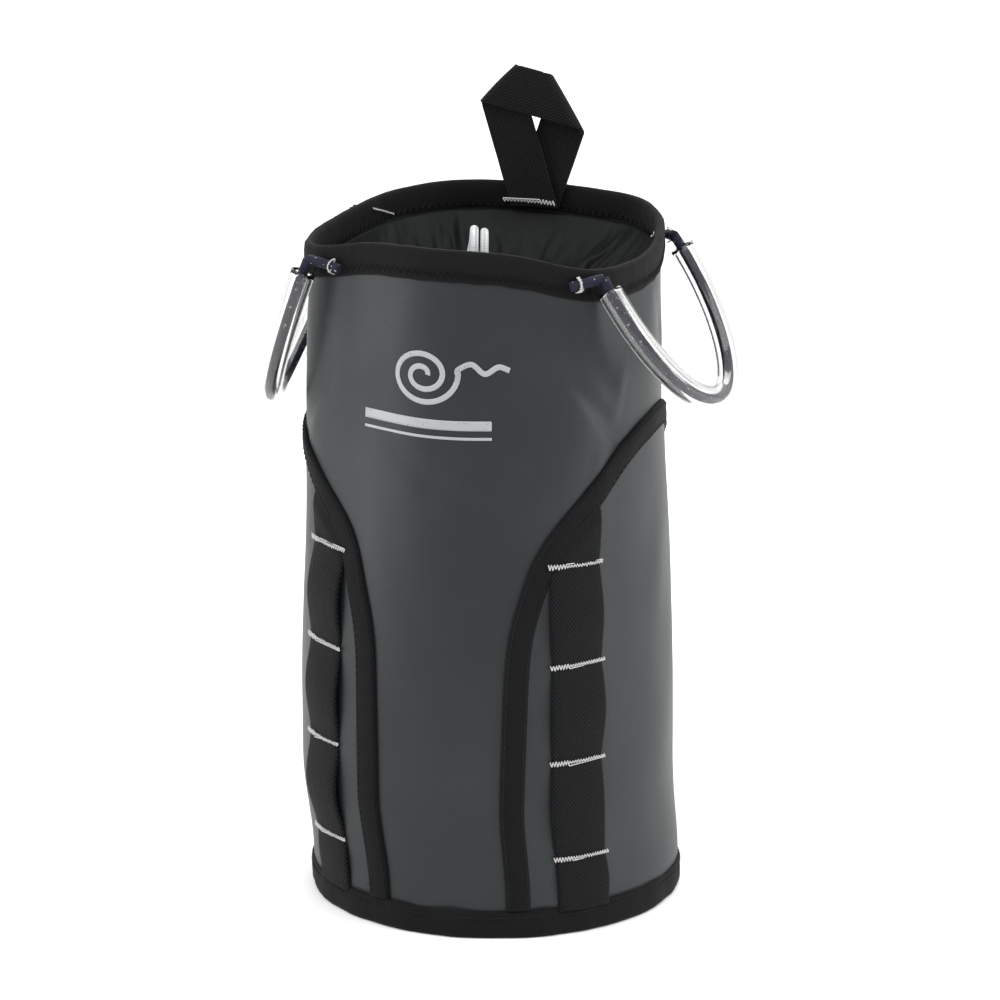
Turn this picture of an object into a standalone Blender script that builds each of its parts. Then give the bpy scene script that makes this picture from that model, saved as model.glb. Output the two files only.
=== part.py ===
"""Rope storage bag: a round base that rises into a rounded square mouth, with a gathered drawcord skirt inside it,
two gear loops, a folded haul handle and two daisy chains of webbing.

Units are metres and +Z is up. The bag's front faces -Y. A turn is an angle round the bag in degrees, 0 at the
front and positive towards +X. A place on the bag is a turn, a height and how far out it lies from the wall.
"""

from math import atan2, cos, degrees, pi, radians, sin

import bmesh
import bpy
from mathutils import Matrix, Vector

MM = 0.001
GAP = 0.3 * MM  # between pieces that touch on the real bag

# The bag's centre line. It stands off the origin, which is under the middle of the whole bag with its loops, and
# it leans a little to one side over the first part of its height.
CENTRE = Vector((-3.3, 0.1, 0.0)) * MM
LEAN = Vector((cos(radians(19.6)), sin(radians(19.6)), 0)) * -3.6 * MM
LEAN_FROM, LEAN_TO = 13 * MM, 60 * MM

# The wall's outer face: its radius up the round body, and its radius and height round the mouth.
BODY = ((0, 78.2), (14, 78.2), (55, 78.6), (105, 79.0), (135, 78.4), (200, 76.6), (270, 75.7), (300, 75.7))
RIM_RADIUS = ((0, 67), (30, 66.5), (55, 77), (72, 75), (92, 73), (112, 73.5), (130, 78.5), (148, 83), (165, 80),
              (180, 79))
RIM_HEIGHT = ((0, 299), (30, 296.5), (55, 290), (90, 288.5), (127, 291.5), (180, 293))
SQUARE_FROM = 100 * MM  # the round body starts to turn square here
AROUND = 48  # segments round the bag
ROW = 20 * MM
TARPAULIN = 1.0 * MM
BASE_BINDING_TOP = 12.5 * MM

# The front panel is turned this far from the front, so the side panels and webbings are too.
FRONT_TURN = 3.5
TAPE_WIDTH = 11 * MM
TAPE_PATH = ((23, 11), (24, 80), (25.5, 125), (29.5, 148), (36, 168), (48, 186.5), (66, 207), (90, 214))
LEFT_ARCH = (168, 0.83)  # the left arch is lower: its height above the first number is scaled by the second

WEBBING_WIDTH = 25 * MM
DAISY_TURN = 44.5
TACK_HEIGHTS = (34.6, 77.6, 120.6, 163.6)
LOOP_BULGE = 2.2 * MM  # how far the webbing stands off between two tacks

# Gear loops: a front and a back end (turn, out, height), the tilt from hanging straight down, the length of the
# straight necks, then a half ellipse of this half width and depth.
GEAR_LOOPS = {
    "right": {"side": 1, "front": (55.4, 5.6, 287.2), "back": (120, 5.6, 284.7), "tilt": 33, "neck": 10.3,
              "half": (44.8, 57.3),
              "front_tail": ((53, 4.9, 286.6), (50, 4.0, 285.4), (46, 3.85, 284.2)),
              "back_tail": ((122.4, 4.9, 284.1), (125.4, 4.0, 283.0), (129.4, 3.85, 282.0)),
              "front_tack": (48.5, 284.9), "back_tack": (126.9, 282.6)},
    "left": {"side": -1, "front": (48, 7.0, 286.1), "back": (115, 7.0, 285.5), "tilt": 19.3, "neck": 8.4,
             "half": (45.8, 67.0),
             "front_tail": ((45.5, 5.3, 285.7), (43, 4.0, 285.0), (38, 3.85, 284.2)),
             "back_tail": ((117.5, 5.4, 285.0), (120, 4.05, 284.3), (125, 3.85, 283.4)),
             "front_tack": (40.6, 284.6), "back_tack": (122.6, 283.8)},
}
TUBE_RADIUS, TUBE_WALL = 5.25 * MM, 1.5 * MM
LOOP_CORD_RADIUS = 2.2 * MM
CORD_FROM_PIVOT, TUBE_FROM_PIVOT = 3.6 * MM, 5.6 * MM  # kept clear, so that the loop can swing
LOOP_TACK = (1.25, 3.4, 6.4)  # half width in degrees of turn, half height and distance from the wall, in millimetres

# Haul handle, in millimetres in its own flat frame: along the rim, up from the rim's top, and in towards the bag.
HANDLE_TURN = 185
STRAP = (20.0, 1.6)
HANDLE_TACK_WIDTH = 25 * MM
ARM_FOOT, ARM_DIRECTION = (-0.77, 0.0), 106.7
FOLDS = (((-24.0, 34.9), 47.2, 1.6), ((18.6, 36.7), -60.3, 2.7))  # a point of the line, its direction, roll radius
HANDLE_AXIS = (4.5, -1.1)  # height above the rim and depth of the line where the strap flexes
HANDLE_CUT = 6.9

# The drawcord closure, in millimetres in a frame turned about the vertical.
CLOSURE_TURN = 19.6
THROAT = (-7.0, 3.0, 266.0)
THROAT_RADIUS, HEM_RADIUS = 29.0, 2.6
DRAWCORD_RADIUS = 1.8 * MM
DRAWCORD_ROUTES = (
    ((-30.4, 9.8, 265.0), (-27.6, 9.8, 258.0), (-24.2, 10.0, 250.5), (-18.8, 9.0, 244.0), (-13.2, 7.9, 242.6),
     (-10.0, 7.1, 245.4), (-9.2, 7.0, 252.0), (-9.2, 7.0, 268.0), (-9.2, 7.0, 279.0), (-9.2, 9.2, 284.9),
     (-9.2, 14.5, 287.3), (-9.4, 19.8, 285.0), (-9.8, 22.2, 280.0), (-11.6, 22.8, 270.0), (-14.5, 23.0, 250.0),
     (-17.0, 22.6, 225.0), (-18.4, 21.2, 195.0), (-18.6, 19.6, 165.0), (-17.2, 18.0, 145.0), (-16.0, 17.2, 137.6)),
    ((-27.3, 16.0, 265.0), (-25.0, 15.4, 257.0), (-21.0, 14.0, 247.5), (-15.0, 11.6, 239.8), (-8.8, 8.8, 238.4),
     (-5.5, 7.4, 243.5), (-4.9, 7.0, 251.0), (-4.9, 7.0, 266.0), (-4.9, 7.0, 278.0), (-4.9, 9.2, 283.9),
     (-4.9, 14.5, 286.1), (-4.9, 19.8, 284.0), (-4.9, 22.2, 279.0), (-5.4, 22.8, 268.0), (-6.8, 22.8, 248.0),
     (-8.6, 22.0, 222.0), (-10.0, 20.4, 192.0), (-10.6, 18.6, 165.0), (-11.2, 17.4, 147.0), (-11.6, 17.2, 137.6)),
)
KNOT = (-13.8, 17.2, 130.0)
KNOT_RADII = (6.4, 6.0, 7.2)

# Cord lock, in millimetres from its centre, along its own axis; it lies across the two rising strands.
LOCK_CENTRE = (-7.05, 7.0, 258.0)
LOCK_RADIUS, LOCK_BORE = 8.5, 6.55
LOCK_ENDS, BORE_END = (-8.5, 12.0), 10.5
CORD_SLOT = (8.8, 4.6)
PLUNGER_RADIUS, PLUNGER_ENDS, PLUNGER_SLOT = 6.25, (-13.0, 4.0), (-5.1, 2.1)
SPRING_RADIUS, SPRING_WIRE, SPRING_TURNS, SPRING_ENDS = 4.0, 0.4, 3.5, (4.8, 9.8)

FINISHES = {
    "tarpaulin": ((0.045, 0.050, 0.055), 0.45, 0.0),
    "binding_tape": ((0.008, 0.008, 0.009), 0.8, 0.0),
    "webbing": ((0.010, 0.010, 0.011), 0.75, 0.0),
    "thread": ((0.62, 0.62, 0.60), 0.7, 0.0),
    "clear_tube": ((0.35, 0.36, 0.38), 0.12, 0.0),
    "loop_cord": ((0.010, 0.013, 0.035), 0.7, 0.0),
    "skirt_nylon": ((0.020, 0.024, 0.024), 0.5, 0.0),
    "drawcord": ((0.62, 0.63, 0.64), 0.6, 0.0),
    "lock_plastic": ((0.012, 0.012, 0.013), 0.4, 0.0),
    "spring_steel": ((0.55, 0.55, 0.56), 0.3, 1.0),
}


# ---- scene, finishes and objects -------------------------------------------------------------------------------

def clear_scene():
    for old in list(bpy.data.objects):
        bpy.data.objects.remove(old, do_unlink=True)


def make_collection(name):
    made = bpy.data.collections.new(name)
    bpy.context.scene.collection.children.link(made)
    return made


def finish(name):
    """The named Principled material, made the first time that it is asked for."""
    if name in bpy.data.materials:
        return bpy.data.materials[name]
    colour, roughness, metallic = FINISHES[name]
    made = bpy.data.materials.new(name)
    made.use_nodes = True
    shader = made.node_tree.nodes["Principled BSDF"]
    shader.inputs["Base Color"].default_value = (*colour, 1)
    shader.inputs["Roughness"].default_value = roughness
    shader.inputs["Metallic"].default_value = metallic
    return made


def add_object(name, data, material, where=None, smooth=True):
    obj = bpy.data.objects.new(name, data)
    (where or PARTS).objects.link(obj)
    data.materials.append(finish(material))
    if smooth and isinstance(data, bpy.types.Mesh):
        data.shade_smooth()
        data.set_sharp_from_angle(angle=radians(35))
    return obj


def mesh_object(name, shape, material, where=None):
    """An object from a bmesh, which is freed."""
    data = bpy.data.meshes.new(name)
    shape.normal_update()
    shape.to_mesh(data)
    shape.free()
    return add_object(name, data, material, where)


def thicken(obj, thickness, offset):
    """Solidify: offset 1 grows the sheet outwards, -1 inwards, 0 both ways."""
    made = obj.modifiers.new("thickness", "SOLIDIFY")
    made.thickness = thickness
    made.offset = offset
    made.use_even_offset = True
    return obj


# ---- curves and the wall's form --------------------------------------------------------------------------------

def eased(t):
    t = min(max(t, 0.0), 1.0)
    return t * t * (3 - 2 * t)


def through(keys, at):
    """A smooth value through (place, value) keys, level at the first and the last."""
    last = len(keys) - 1
    slopes = [0.0] * len(keys)
    for i in range(1, last):
        slopes[i] = (keys[i + 1][1] - keys[i - 1][1]) / (keys[i + 1][0] - keys[i - 1][0])
    at = min(max(at, keys[0][0]), keys[last][0])
    i = next(n for n in range(last) if at <= keys[n + 1][0])
    step = keys[i + 1][0] - keys[i][0]
    t = (at - keys[i][0]) / step
    rise = keys[i + 1][1] - keys[i][1]
    bend = t * (1 - t) * ((slopes[i] * step - rise) * (1 - t) - (slopes[i + 1] * step - rise) * t)
    return keys[i][1] + rise * t + bend


def smooth_route(points, spacing):
    """Evenly spaced points on a Catmull-Rom curve through the given ones."""
    points = [Vector(p) for p in points]
    ends = [2 * points[0] - points[1], *points, 2 * points[-1] - points[-2]]
    fine = [points[0]]
    for a, b, c, d in zip(ends, ends[1:], ends[2:], ends[3:]):
        for n in range(1, 25):
            t = n / 24
            fine.append(0.5 * (2 * b + (c - a) * t + (2 * a - 5 * b + 4 * c - d) * t * t
                               + (3 * b - a - 3 * c + d) * t ** 3))
    return spaced(fine, spacing)


def spaced(line, spacing):
    """The polyline read again at even steps of about this spacing."""
    along = [0.0]
    for a, b in zip(line, line[1:]):
        along.append(along[-1] + (b - a).length)
    count = max(2, round(along[-1] / spacing))
    read, place = [], 0
    for n in range(count + 1):
        want = along[-1] * n / count
        while place < len(line) - 2 and along[place + 1] < want:
            place += 1
        share = (want - along[place]) / max(along[place + 1] - along[place], 1e-12)
        read.append(line[place].lerp(line[place + 1], min(max(share, 0.0), 1.0)))
    return read


def trimmed(line, start, end):
    """The polyline without these lengths of its two ends."""
    for flip, cut in ((False, start), (True, end)):
        line = line[::-1] if flip else line
        while (line[1] - line[0]).length < cut:
            cut -= (line[1] - line[0]).length
            line = line[1:]
        line = [line[0] + (line[1] - line[0]).normalized() * cut, *line[1:]]
        line = line[::-1] if flip else line
    return line


def half_turn(turn):
    """The turn as 0 to 180, because the mouth is alike on both sides."""
    return abs((turn + 180) % 360 - 180)


def rim_height(turn):
    return through(RIM_HEIGHT, half_turn(turn)) * MM


def wall_radius(turn, z):
    square = eased((z - SQUARE_FROM) / (rim_height(turn) - SQUARE_FROM))
    body = through(BODY, z / MM)
    return (body + (through(RIM_RADIUS, half_turn(turn)) - body) * square) * MM


def wall(turn, z, out=0.0):
    """The point this far outside the wall's outer face."""
    radius = wall_radius(turn, z) + out
    lean = LEAN * eased((z - LEAN_FROM) / (LEAN_TO - LEAN_FROM))
    angle = radians(turn)
    return CENTRE + lean + Vector((radius * sin(angle), -radius * cos(angle), z))


def turns_around():
    return [360 * n / AROUND for n in range(AROUND)]


# ---- makers ----------------------------------------------------------------------------------------------------

def loft(name, rows, material, around=True, closed=False):
    """Quads between rows of points. The rows close round the bag, and the last may join the first."""
    shape = bmesh.new()
    made = [[shape.verts.new(p) for p in row] for row in rows]
    pairs = list(zip(made, made[1:]))
    if closed:
        pairs.append((made[-1], made[0]))
    for low, high in pairs:
        spans = list(range(len(low) if around else len(low) - 1))
        for i in spans:
            j = (i + 1) % len(low)
            shape.faces.new((low[i], low[j], high[j], high[i]))
    return mesh_object(name, shape, material)


def flat_face(outline):
    shape = bmesh.new()
    shape.faces.new([shape.verts.new((x, y, 0)) for x, y in outline])
    shape.normal_update()
    if next(iter(shape.faces)).normal.z < 0:
        bmesh.ops.reverse_faces(shape, faces=shape.faces[:])
    return shape


def cut(shape, point, normal, keep_inner=False):
    everything = shape.verts[:] + shape.edges[:] + shape.faces[:]
    bmesh.ops.bisect_plane(shape, geom=everything, plane_co=point, plane_no=normal, dist=1e-5,
                           clear_outer=keep_inner)


def wrapped(name, outline, out, thickness, material, rows=None, rise=None):
    """A flat pattern of (turn, height) points, laid on the wall and thickened away from it or, with a negative
    thickness, into the bag. It is cut along the wall's own grid, or at these rows, so that it bends with it."""
    shape = flat_face([(turn, z / MM) for turn, z in outline])
    step = 360 / AROUND
    first, last = min(p[0] for p in outline), max(p[0] for p in outline)
    for n in range(int(first // step) + 1, int(last // step) + 1):
        cut(shape, (n * step, 0, 0), (1, 0, 0))
    low, high = min(p[1] for p in outline), max(p[1] for p in outline)
    for z in rows or [n * ROW for n in range(int(low // ROW) + 1, int(high // ROW) + 1)]:
        cut(shape, (0, z / MM, 0), (0, 1, 0))
    for vert in shape.verts:
        turn, z = vert.co.x, vert.co.y * MM
        vert.co = wall(turn, z, out + (rise(z) if rise else 0.0))
    return thicken(mesh_object(name, shape, material), abs(thickness), 1 if thickness > 0 else -1)


def turned(name, profile, material, closed=True):
    """A profile of (radius, height) points in millimetres, screwed round the bag's centre line."""
    shape = bmesh.new()
    verts = [shape.verts.new((r * MM, 0, z * MM)) for r, z in profile]
    for a, b in zip(verts, verts[1:]):
        shape.edges.new((a, b))
    if closed:
        shape.edges.new((verts[-1], verts[0]))
    obj = mesh_object(name, shape, material)
    obj.location = CENTRE
    screw = obj.modifiers.new("turned", "SCREW")
    screw.steps = screw.render_steps = AROUND
    screw.use_merge_vertices = True
    screw.merge_threshold = 0.0001
    return obj


def tube(name, points, radius, material, caps=True):
    """A tube along a polyline."""
    data = bpy.data.curves.new(name, "CURVE")
    data.dimensions = "3D"
    data.bevel_depth = radius
    data.bevel_resolution = 2
    data.use_fill_caps = caps
    spline = data.splines.new("POLY")
    spline.points.add(len(points) - 1)
    for spot, point in zip(spline.points, points):
        spot.co = (*point, 1)
    return add_object(name, data, material)


# ---- the bag's body --------------------------------------------------------------------------------------------

def rim_rows():
    """Heights of the wall's rows: flat ones up the body, then two that turn to follow the rim."""
    flat = [BASE_BINDING_TOP + GAP] + [n * ROW for n in range(2, 13)]
    return flat, (0.5, 1.0)


def make_outer_shell():
    bottom, top = 1.6 * MM, 1.8 * MM
    flat, shares = rim_rows()
    rows = [[wall(turn, z) for turn in turns_around()] for z in [bottom, *flat]]
    for share in shares:
        rows.append([wall(turn, flat[-1] + (rim_height(turn) - top - flat[-1]) * share) for turn in turns_around()])
    thicken(loft("outer_shell", rows, "tarpaulin"), TARPAULIN, -1)


def make_rim_binding():
    """The tape's section, as (out, drop from the rim's top) in millimetres, swept round the rim."""
    section = ((1.5, 13.5), (1.5, 0), (-2.5, 0), (-2.5, 12), (-1.3, 12), (-1.3, 1.5), (0.3, 1.5), (0.3, 13.5))
    rows = [[wall(turn, rim_height(turn) - drop * MM, out * MM) for turn in turns_around()] for out, drop in section]
    loft("rim_binding", rows, "binding_tape", closed=True)


def make_base():
    turned("base_disc", ((0, 10), (76.9, 10), (76.9, 1.6), (75.9, 1.6), (75.9, 9), (0, 9)), "tarpaulin",
           closed=False)
    turned("base_binding", ((79.9, 12.5), (79.9, 0), (74.4, 0), (74.4, 8.5), (75.6, 8.5), (75.6, 1.3), (78.5, 1.3),
                            (78.5, 12.5)), "binding_tape")


def make_back_seam_tape():
    half = 4.4
    low, high = 13 * MM, rim_height(180) - 14 * MM
    outline = ((180 - half, low), (180 + half, low), (180 + half, high), (180 - half, high))
    wrapped("back_seam_tape", outline, -1.3 * MM, -0.5 * MM, "binding_tape")


# ---- side panels, their tapes and the daisy chains -------------------------------------------------------------

def tape_centre():
    """The right tape's centre line in the unrolled wall, as (arc length, height), from the front to the back."""
    per_degree = radians(1) * 79 * MM
    half = [(turn * per_degree, z * MM, 0) for turn, z in TAPE_PATH]
    mirror = 2 * half[-1][0]
    return smooth_route(half + [(mirror - s, z, 0) for s, z, _ in half[-2::-1]], 9 * MM), per_degree


def tape_edge(side, offset):
    """The tape's centre line moved this far into the side panel, as (turn, height) points on this side."""
    line, per_degree = tape_centre()
    shared, scale = LEFT_ARCH[0] * MM, LEFT_ARCH[1]
    edge = []
    for n, point in enumerate(line):
        along = (line[min(n + 1, len(line) - 1)] - line[max(n - 1, 0)]).normalized()
        spot = point + Vector((along.y, -along.x, 0)) * offset
        height = spot.y
        if side < 0 and height > shared:
            height = shared + (height - shared) * scale
        edge.append((side * spot.x / per_degree + FRONT_TURN, height))
    return edge


def make_panel(side, name):
    low = BASE_BINDING_TOP + GAP
    arch = [p for p in tape_edge(side, TAPE_WIDTH / 2 + GAP) if p[1] > low + 2 * MM]
    outline = [(arch[0][0], low), *arch, (arch[-1][0], low)]
    wrapped(f"side_panel_{name}", outline, 0.6 * MM, 0.8 * MM, "tarpaulin")


def make_panel_binding(side, name):
    low = BASE_BINDING_TOP + GAP
    rows = []
    for share in (side, 0, -side):
        edge = tape_edge(side, TAPE_WIDTH / 2 * share)
        rows.append([wall(turn, max(z, low), 0.6 * MM) for turn, z in edge])
    thicken(loft(f"panel_binding_{name}", rows, "binding_tape", around=False), 1.7 * MM, 1)


def make_daisy(side, name):
    """The webbing from the base binding up to the tape, standing off the panel between its tacks."""
    middle = side * DAISY_TURN + FRONT_TURN
    half = degrees(WEBBING_WIDTH / 2 / (80 * MM))
    under_tape = sorted(tape_edge(side, TAPE_WIDTH / 2 + GAP), key=lambda p: abs(p[0] - FRONT_TURN))

    def tape_at(turn):
        near = [p for p in under_tape if abs(p[0] - FRONT_TURN) < 95]
        for a, b in zip(near, near[1:]):
            if (a[0] - turn) * (b[0] - turn) <= 0:
                return a[1] + (b[1] - a[1]) * (turn - a[0]) / (b[0] - a[0])
        return near[-1][1]

    tacks = [z * MM for z in TACK_HEIGHTS]
    spots = [BASE_BINDING_TOP, *tacks]
    rows = [low + (high - low) * n / 6 for low, high in zip(spots, spots[1:]) for n in range(1, 7)]

    def rise(z):
        for low, high in zip(spots, spots[1:]):
            if low < z < high:
                return LOOP_BULGE * sin(pi * (z - low) / (high - low)) ** 2
        return 0.0

    top = [(middle + half * n / 3, tape_at(middle + half * n / 3)) for n in range(3, -4, -1)]
    low = BASE_BINDING_TOP + GAP
    outline = [(middle - half, low), (middle + half, low), *top]
    wrapped(f"daisy_webbing_{name}", outline, 1.8 * MM, 1.4 * MM, "webbing", rows=rows, rise=rise)
    for count, z in enumerate(reversed(tacks), start=1):
        wide, tall = half * 1.02, 1.5 * MM
        outline = ((middle - wide, z - tall), (middle + wide, z - tall), (middle + wide, z + tall),
                   (middle - wide, z + tall))
        wrapped(f"daisy_tack_{name}_{count}", outline, 3.6 * MM, 0.8 * MM, "thread")


# ---- haul handle -----------------------------------------------------------------------------------------------

def handle_point(across, up, depth):
    """A point of the handle's own frame: along the rim to the right as seen from the mouth, up, and inwards."""
    angle = radians(HANDLE_TURN)
    foot = wall(HANDLE_TURN, rim_height(HANDLE_TURN), -5.8 * MM)
    right = Vector((-cos(angle), -sin(angle), 0))
    inwards = Vector((-sin(angle), cos(angle), 0))
    return foot + (right * across + inwards * depth + Vector((0, 0, up))) * MM


def direction(angle):
    return Vector((cos(radians(angle)), sin(radians(angle)), 0))


def mirrored(point, line):
    """The flat point on the other side of the line, which is a point, a direction in degrees and more."""
    along = direction(line[1])
    foot = Vector((*line[0], 0))
    return foot + 2 * along * along.dot(point - foot) - (point - foot)


def roll(point, foot, normal, radius):
    """Takes a point of the flat strap, at height z over it, round a fold of this radius."""
    q = (point - foot).dot(normal) + pi * radius / 2
    if q <= 0:
        return point
    if q < pi * radius:
        across = (radius - point.z) * sin(q / radius)
        depth = radius - (radius - point.z) * cos(q / radius)
    else:
        across = pi * radius - q
        depth = 2 * radius - point.z
    flat = point + normal * (across - q)
    return Vector((flat.x, flat.y, depth))


def make_handle():
    width, thickness = STRAP
    along = direction(ARM_DIRECTION)
    beside = direction(ARM_DIRECTION - 90)
    foot = Vector((*ARM_FOOT, 0))
    corners = [foot + along * s + beside * t * width / 2 for s, t in ((-15, -1), (-15, 1), (170, 1), (170, -1))]
    shape = flat_face([(p.x, p.y) for p in corners])

    first, second = FOLDS
    first_foot = Vector((*first[0], 0))
    first_normal = direction(first[1] + 90)
    second_foot = mirrored(Vector((*second[0], 0)), first)
    second_normal = direction(2 * first[1] - (second[1] + 90))
    for spot, normal, radius in ((first_foot, first_normal, first[2]), (second_foot, second_normal, second[2])):
        for n in range(7):
            cut(shape, spot + normal * pi * radius * (n / 6 - 0.5), normal)
    # Both ends are cut level. The far end's line is the level line, unfolded.
    cut(shape, (0, HANDLE_CUT, 0), (0, -1, 0), keep_inner=True)
    level = Vector((0, HANDLE_CUT, 0))
    down = Vector((0, HANDLE_CUT - 1, 0))
    unfolded = (second_foot[:2], 2 * first[1] - second[1], 0)
    end = mirrored(mirrored(level, first), unfolded)
    beyond = mirrored(mirrored(down, first), unfolded) - end
    cut(shape, end, beyond, keep_inner=True)

    for vert in shape.verts:
        point = roll(vert.co.copy(), second_foot, second_normal, second[2])
        point = roll(point, first_foot, first_normal, first[2])
        vert.co = handle_point(point.x, point.y, point.z) - HANDLE_PIVOT
    handle = thicken(mesh_object("haul_handle", shape, "webbing"), thickness * MM, 0)
    handle.location = HANDLE_PIVOT


def make_handle_anchor():
    low, high = 283 * MM, rim_height(HANDLE_TURN) + HANDLE_AXIS[0] * MM
    outline = ((174.6, low), (195, low), (195, high), (174.6, high))
    wrapped("haul_handle_anchor", outline, -2.8 * MM, -3.8 * MM, "webbing")
    half = degrees(HANDLE_TACK_WIDTH / 2 / (79 * MM))
    low, high = 284.5 * MM, 287.5 * MM
    outline = ((HANDLE_TURN - half, low), (HANDLE_TURN + half, low), (HANDLE_TURN + half, high),
               (HANDLE_TURN - half, high))
    wrapped("haul_handle_tack", outline, -6.9 * MM, -0.8 * MM, "thread")


# ---- gear loops ------------------------------------------------------------------------------------------------

def loop_end(loop, which):
    turn, out, z = loop[which]
    return wall(loop["side"] * turn, z * MM, out * MM)


def loop_line(loop):
    """The loop's centre line, from the front pivot round to the back one."""
    front, back = loop_end(loop, "front"), loop_end(loop, "back")
    middle, chord = (front + back) / 2, (back - front) / 2
    along = chord.normalized()
    outwards = along.cross(Vector((0, 0, 1))) * loop["side"]
    tilt = radians(loop["tilt"])
    down = outwards * sin(tilt) - Vector((0, 0, 1)) * cos(tilt)
    down = (down - along * down.dot(along)).normalized()
    half, depth = (v * MM for v in loop["half"])
    neck = loop["neck"] * MM
    line = []
    for n in range(6):
        share = n / 6
        line.append((-(chord.length + (half - chord.length) * sin(share * pi / 2)), neck * share))
    for n in range(25):
        angle = pi * n / 24
        line.append((-half * cos(angle), neck + depth * sin(angle)))
    line += [(-x, w) for x, w in line[5::-1]]
    return [middle + along * x + down * w for x, w in line]


def make_gear_loop(name, loop):
    line = loop_line(loop)
    pivot = loop_end(loop, "front")
    cord_line = spaced(trimmed(line, CORD_FROM_PIVOT, CORD_FROM_PIVOT), 8 * MM)
    tube_line = spaced(trimmed(line, TUBE_FROM_PIVOT, TUBE_FROM_PIVOT), 7.5 * MM)
    clear = tube(f"gear_loop_tube_{name}", [p - pivot for p in tube_line], TUBE_RADIUS, "clear_tube", caps=False)
    thicken(clear, TUBE_WALL, -1)
    clear.location = pivot
    cord = tube(f"gear_loop_cord_{name}", [p - pivot for p in cord_line], LOOP_CORD_RADIUS, "loop_cord")
    cord.location = pivot


def make_cord_ends(name, loop):
    """The loop cord's two ends, each sewn flat on the outside of the rim binding, away from the loop."""
    side = loop["side"]
    half, rise, out = LOOP_TACK
    for end in ("front", "back"):
        tail = [wall(side * turn, z * MM, o * MM) for turn, o, z in loop[f"{end}_tail"]]
        tube(f"gear_loop_cord_end_{name}_{end}", smooth_route([loop_end(loop, end), *tail], 4 * MM), LOOP_CORD_RADIUS,
             "loop_cord")
        turn, z = loop[f"{end}_tack"]
        corners = ((-half, -rise), (half, -rise), (half, rise), (-half, rise))
        outline = [(side * (turn + a), (z + b) * MM) for a, b in corners]
        wrapped(f"gear_loop_tack_{name}_{end}", outline, out * MM, 0.8 * MM, "thread")


# ---- drawcord closure ------------------------------------------------------------------------------------------

def closure_point(x, y, z):
    return CENTRE + Matrix.Rotation(radians(CLOSURE_TURN), 3, "Z") @ Vector((x, y, z)) * MM


def make_skirt():
    """The gathered skirt, from under the rim binding in to the hem, sagging a little on its way."""
    throat = closure_point(*THROAT)
    outer = [wall(turn, rim_height(turn) - 12.6 * MM, -1.8 * MM) for turn in turns_around()]
    inner = []
    for point in outer:
        away = point - throat
        angle = atan2(away.y, away.x)
        reach = (THROAT_RADIUS + HEM_RADIUS + 0.9) * MM
        inner.append(throat + Vector((cos(angle), sin(angle), 0)) * reach)
    rows = []
    for share in (0, 0.35, 0.7, 1):
        sag = Vector((0, 0, -6 * MM * sin(pi * share)))
        rows.append([a.lerp(b, 1 - share) + sag for a, b in zip(outer, inner)][:])
    thicken(loft("closure_skirt", rows, "skirt_nylon"), 0.8 * MM, 0)


def make_hem():
    bpy.ops.mesh.primitive_torus_add(major_radius=THROAT_RADIUS * MM, minor_radius=HEM_RADIUS * MM,
                                     major_segments=36, minor_segments=8, location=closure_point(*THROAT))
    move_to_parts(bpy.context.object, "closure_hem", "skirt_nylon")


def move_to_parts(obj, name, material, where=None):
    obj.name = obj.data.name = name
    obj.data.materials.append(finish(material))
    for old in list(obj.users_collection):
        old.objects.unlink(obj)
    (where or PARTS).objects.link(obj)
    obj.data.shade_smooth()
    obj.data.set_sharp_from_angle(angle=radians(35))
    return obj


def make_drawcords():
    for number, route in enumerate(DRAWCORD_ROUTES, start=1):
        line = smooth_route([closure_point(*p) for p in route], 5 * MM)
        tube(f"drawcord_{number}", line, DRAWCORD_RADIUS, "drawcord")
    bpy.ops.mesh.primitive_uv_sphere_add(segments=16, ring_count=10, radius=MM, location=closure_point(*KNOT))
    knot = move_to_parts(bpy.context.object, "drawcord_knot", "drawcord")
    knot.data.transform(Matrix.Diagonal((*KNOT_RADII, 1)))
    knot.rotation_euler.z = radians(CLOSURE_TURN)


# ---- cord lock -------------------------------------------------------------------------------------------------

def lock_cylinder(name, radius, ends, segments=32):
    """A cylinder along the lock's axis, between two places on it."""
    bpy.ops.mesh.primitive_cylinder_add(vertices=segments, radius=radius * MM, depth=(ends[1] - ends[0]) * MM)
    obj = bpy.context.object
    obj.data.transform(Matrix.Rotation(-pi / 2, 4, "X"))
    obj.data.transform(Matrix.Translation((0, sum(ends) / 2 * MM, 0)))
    return place_on_lock(obj, name)


def lock_box(name, size, middle):
    bpy.ops.mesh.primitive_cube_add(size=1)
    obj = bpy.context.object
    obj.data.transform(Matrix.Diagonal((*(v * MM for v in size), 1)))
    obj.data.transform(Matrix.Translation(Vector(middle) * MM))
    return place_on_lock(obj, name)


def place_on_lock(obj, name):
    """Puts a piece made round the lock's own centre into place, as a cutter until it is moved to the parts."""
    move_to_parts(obj, name, "lock_plastic", CUTTERS)
    obj.location = closure_point(*LOCK_CENTRE)
    obj.rotation_euler.z = radians(CLOSURE_TURN)
    obj.hide_render = True
    obj.display_type = "WIRE"
    return obj


def make_piece(obj):
    obj.hide_render = False
    obj.display_type = "TEXTURED"
    CUTTERS.objects.unlink(obj)
    PARTS.objects.link(obj)
    return obj


def subtract(obj, cutter):
    made = obj.modifiers.new("cut", "BOOLEAN")
    made.operation = "DIFFERENCE"
    made.object = cutter


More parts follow.
